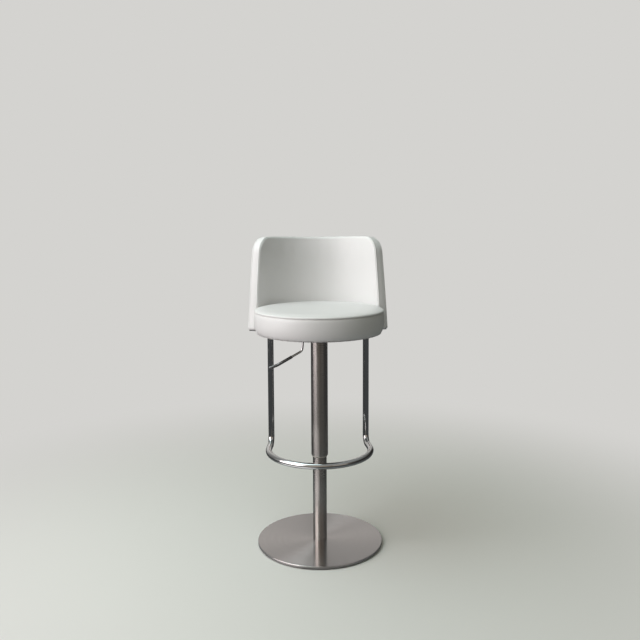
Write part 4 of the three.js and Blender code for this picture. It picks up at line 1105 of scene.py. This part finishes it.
staple_circle = lining_radius - 7 * MM
staple_count = 46
staple_slip = 0.12
staple_size = (0.7 * MM, 10 * MM, 0.5 * MM)
staple_bm = bmesh.new()
for index in range(staple_count):
    angle = 2 * math.pi * (index + random.uniform(-staple_slip, staple_slip)) / staple_count
    turn = Matrix.Rotation(angle, 4, "Z") @ Matrix.Translation((staple_circle, 0, lining_low.z))
    tilt = Matrix.Rotation(random.uniform(-staple_slip, staple_slip), 4, "Z")
    shape = Matrix.Diagonal((*staple_size, 1))
    bmesh.ops.create_cube(staple_bm, size=1.0, matrix=turn @ tilt @ shape)
ease(staple_bm, 0.12 * MM, segments=1)
staples = as_piece(staple_bm, "lining_staples", "seat_lining", finishes["zinc_steel"])
print("staples:", staple_count)

# %% [markdown]
# ## The wrap-round back
# The back starts as a flat pattern: a long panel whose ends lean back and whose top
# corners are rounded. Two grids are drawn out to that pattern as its faces, and the border
# of one is extruded round the edge to the other. Only then is the panel bent round the
# seat, which is the order in which an upholsterer works too.

# %% The flat pattern
back_low, back_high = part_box("back_pad")
inner_radius = seat_radius + 1 * MM
outer_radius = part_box("back_cover")[1].y
middle_radius = (inner_radius + outer_radius) / 2
back_bottom = back_low.z
top_drawn_down = 4.3 * MM
top_dip = 3 * MM
back_rise = back_high.z - back_low.z - top_drawn_down
wing_front_low = 72 * MM
wing_front_high = 116 * MM
top_corner = 56 * MM
bottom_corner = 9 * MM
half_low = middle_radius * math.acos(wing_front_low / middle_radius)
half_high = middle_radius * math.acos(wing_front_high / middle_radius)
lean = (half_low - half_high) / back_rise


def pattern_edges(u, v, inset):
    """The outline at the grid's border: u and v run from -1 to 1."""
    low = back_bottom + inset
    high = back_bottom + back_rise - inset
    arc = max(top_corner - inset, MM) if v > 0 else max(bottom_corner - inset, MM)

    def half(height):
        return half_low - inset - (height - back_bottom) * lean

    along_share = 0.9
    if abs(v) >= abs(u):
        edge = high if v > 0 else low
        if abs(u) <= along_share:
            dip = top_dip * math.cos(math.pi / 2 * u / along_share) ** 2 if v > 0 else 0
            return u / along_share * (half(edge) - arc), edge - dip
        angle = (abs(u) - along_share) / (1 - along_share) * math.pi / 4
        height = edge - math.copysign(arc * (1 - math.cos(angle)), v)
        return math.copysign(half(height) - arc + arc * math.sin(angle), u), height
    up_share = 0.7
    if abs(v) <= up_share:
        low_end = low + max(bottom_corner - inset, MM)
        high_end = high - max(top_corner - inset, MM)
        height = low_end + (v / up_share + 1) / 2 * (high_end - low_end)
        return math.copysign(half(height), u), height
    angle = (abs(v) - up_share) / (1 - up_share) * math.pi / 4
    edge = high if v > 0 else low
    height = edge - math.copysign(arc * (1 - math.sin(angle)), v)
    return math.copysign(half(height) - arc * (1 - math.cos(angle)), u), height


def pattern_point(u, v, inset):
    """A grid point drawn out to the pattern, by blending the four borders."""
    s, t = (u + 1) / 2, (v + 1) / 2
    low, high = Vector(pattern_edges(u, -1, inset)), Vector(pattern_edges(u, 1, inset))
    left, right = Vector(pattern_edges(-1, v, inset)), Vector(pattern_edges(1, v, inset))
    corners = [Vector(pattern_edges(a, b, inset)) for a, b in ((-1, -1), (1, -1), (-1, 1), (1, 1))]
    bilinear = (
        corners[0] * (1 - s) * (1 - t) + corners[1] * s * (1 - t) + corners[2] * (1 - s) * t
        + corners[3] * s * t
    )
    return low * (1 - t) + high * t + left * (1 - s) + right * s - bilinear


def rounded_wall(near, far, near_round, far_round, swell_out, steps=4):
    """The panel's edge from face to face: (drawn in from the outline, depth) of each loop."""
    quarter = [math.pi / 2 * i / steps for i in range(steps + 1)]
    wall = far - near - near_round - far_round
    loops = [(near_round * (1 - math.sin(a)), near + near_round * (1 - math.cos(a))) for a in quarter[1:]]
    for share in (0.25, 0.5, 0.75):
        loops.append((-swell_out * math.sin(math.pi * share), near + near_round + wall * share))
    loops += [(far_round * (1 - math.cos(a)), far - far_round * (1 - math.sin(a))) for a in quarter]
    return loops


def bend_round_seat(bm):
    for vert in bm.verts:
        angle = vert.co.x / middle_radius
        radius = vert.co.y
        vert.co.x = radius * math.sin(angle)
        vert.co.y = radius * math.cos(angle)


print("pattern in mm, bottom and top:", round(2 * half_low / MM), round(2 * half_high / MM))


# %% A padded panel
# Both faces are grids drawn out to the pattern. The border of the near face is extruded
# loop by loop round the rounded edge, and the last loop merges with the far face.
def padded_panel(near, far, near_round, far_round, swell_out, columns=88, rows=30):
    bm = bmesh.new()
    along_layer, up_layer, free = (bm.verts.layers.float.new(name) for name in ("along", "up", "free"))

    def face_grid(inset, depth):
        verts = bmesh.ops.create_grid(bm, x_segments=columns, y_segments=rows, size=1.0)["verts"]
        for vert in verts:
            vert[along_layer], vert[up_layer] = vert.co.x, vert.co.y
            along, height = pattern_point(vert.co.x, vert.co.y, inset)
            vert.co = (along, depth, height)
        return verts

    near_verts = face_grid(near_round, near)
    for vert in near_verts:
        vert[free] = 0.0 if vert.is_boundary else 1.0
    rim = [edge for edge in bm.edges if edge.is_boundary]
    for inset, depth in rounded_wall(near, far, near_round, far_round, swell_out):
        made = bmesh.ops.extrude_edge_only(bm, edges=rim)["geom"]
        for vert in (g for g in made if isinstance(g, bmesh.types.BMVert)):
            along, height = pattern_point(vert[along_layer], vert[up_layer], inset)
            vert.co = (along, depth, height)
        rim = [g for g in made if isinstance(g, bmesh.types.BMEdge) and g.is_boundary]
    face_grid(far_round, far)
    bmesh.ops.remove_doubles(bm, verts=bm.verts, dist=merge_distance)
    bend_round_seat(bm)
    return bm, free


# %% The pad inside the back
pad_inner_round = 7 * MM
pad_bm, free_layer = padded_panel(
    near=inner_radius + 0.6 * MM, far=outer_radius - 4.9 * MM, near_round=pad_inner_round,
    far_round=0.8 * MM, swell_out=0.9 * MM,
)
pad_pins = [1.0 - vert[free_layer] for vert in pad_bm.verts]
back_pad = as_piece(pad_bm, "back_foam", "back_pad")
back_swelling = swell(back_pad, pad_pins, pressure=2.4, cap=3.2 * MM)
print("back pad swells by", round(back_swelling / MM, 2), "mm")
subdivided(back_pad, levels=1)
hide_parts("back_pad")

# %% The outer cover
shell_bm = padded_panel(
    near=outer_radius - 4.6 * MM, far=outer_radius, near_round=0.6 * MM, far_round=3.7 * MM, swell_out=0.0,
)[0]
back_shell = as_piece(shell_bm, "back_outer_cover", "back_cover")
subdivided(back_shell, levels=1)
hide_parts("back_cover")
print("outer cover reaches", round(outer_radius / MM, 1), "mm")


# %% The back's welt
# The welt follows the line where the inner panel's soft edge meets the front strip, from
# the foot of one wing over the top to the other. A curve with a round section carries it
# round the corners evenly.
def outline_points(inset, radius, count=260, wing_share=0.2):
    points = []
    for index in range(count + 1):
        share = index / count
        if share < wing_share:
            u, v = 1.0, -1 + 2 * (share / wing_share)
        elif share < 1 - wing_share:
            u, v = 1 - 2 * (share - wing_share) / (1 - 2 * wing_share), 1.0
        else:
            u, v = -1.0, 1 - 2 * (share - (1 - wing_share)) / wing_share
        along, height = pattern_edges(u, v, inset)
        points.append(Vector((
            radius * math.sin(along / middle_radius), radius * math.cos(along / middle_radius), height,
        )))
    return points


def welt_along(points, name, radius, node):
    data = bpy.data.curves.new(name, "CURVE")
    data.dimensions = "3D"
    data.bevel_depth = radius
    data.bevel_resolution = 4
    data.use_fill_caps = True
    spline = data.splines.new("POLY")
    spline.points.add(len(points) - 1)
    for point, place in zip(spline.points, points):
        point.co = (*place, 1)
    line = bpy.data.objects.new(name + "_line", data)
    scene.collection.objects.link(line)
    bpy.context.view_layer.update()
    mesh = bpy.data.meshes.new_from_object(line.evaluated_get(bpy.context.evaluated_depsgraph_get()))
    bpy.data.objects.remove(line)
    bm = bmesh.new()
    bm.from_mesh(mesh)
    bmesh.ops.remove_doubles(bm, verts=bm.verts, dist=merge_distance)
    return as_piece(bm, name, node)


welt_line = outline_points(inset=0.8 * MM, radius=inner_radius + pad_inner_round)
back_welt = welt_along(welt_line, "back_welt", radius=2.1 * MM, node="back_piping")
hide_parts("back_piping")
print("back welt made of", len(back_welt.data.polygons), "faces")

# %% The back's own lining
bent_low, bent_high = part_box("back_lining")
deburred("back_lining", "back_dust_cover", 0.4 * MM)
print("back lining is", round((bent_high.z - bent_low.z) / MM, 1), "mm thick")
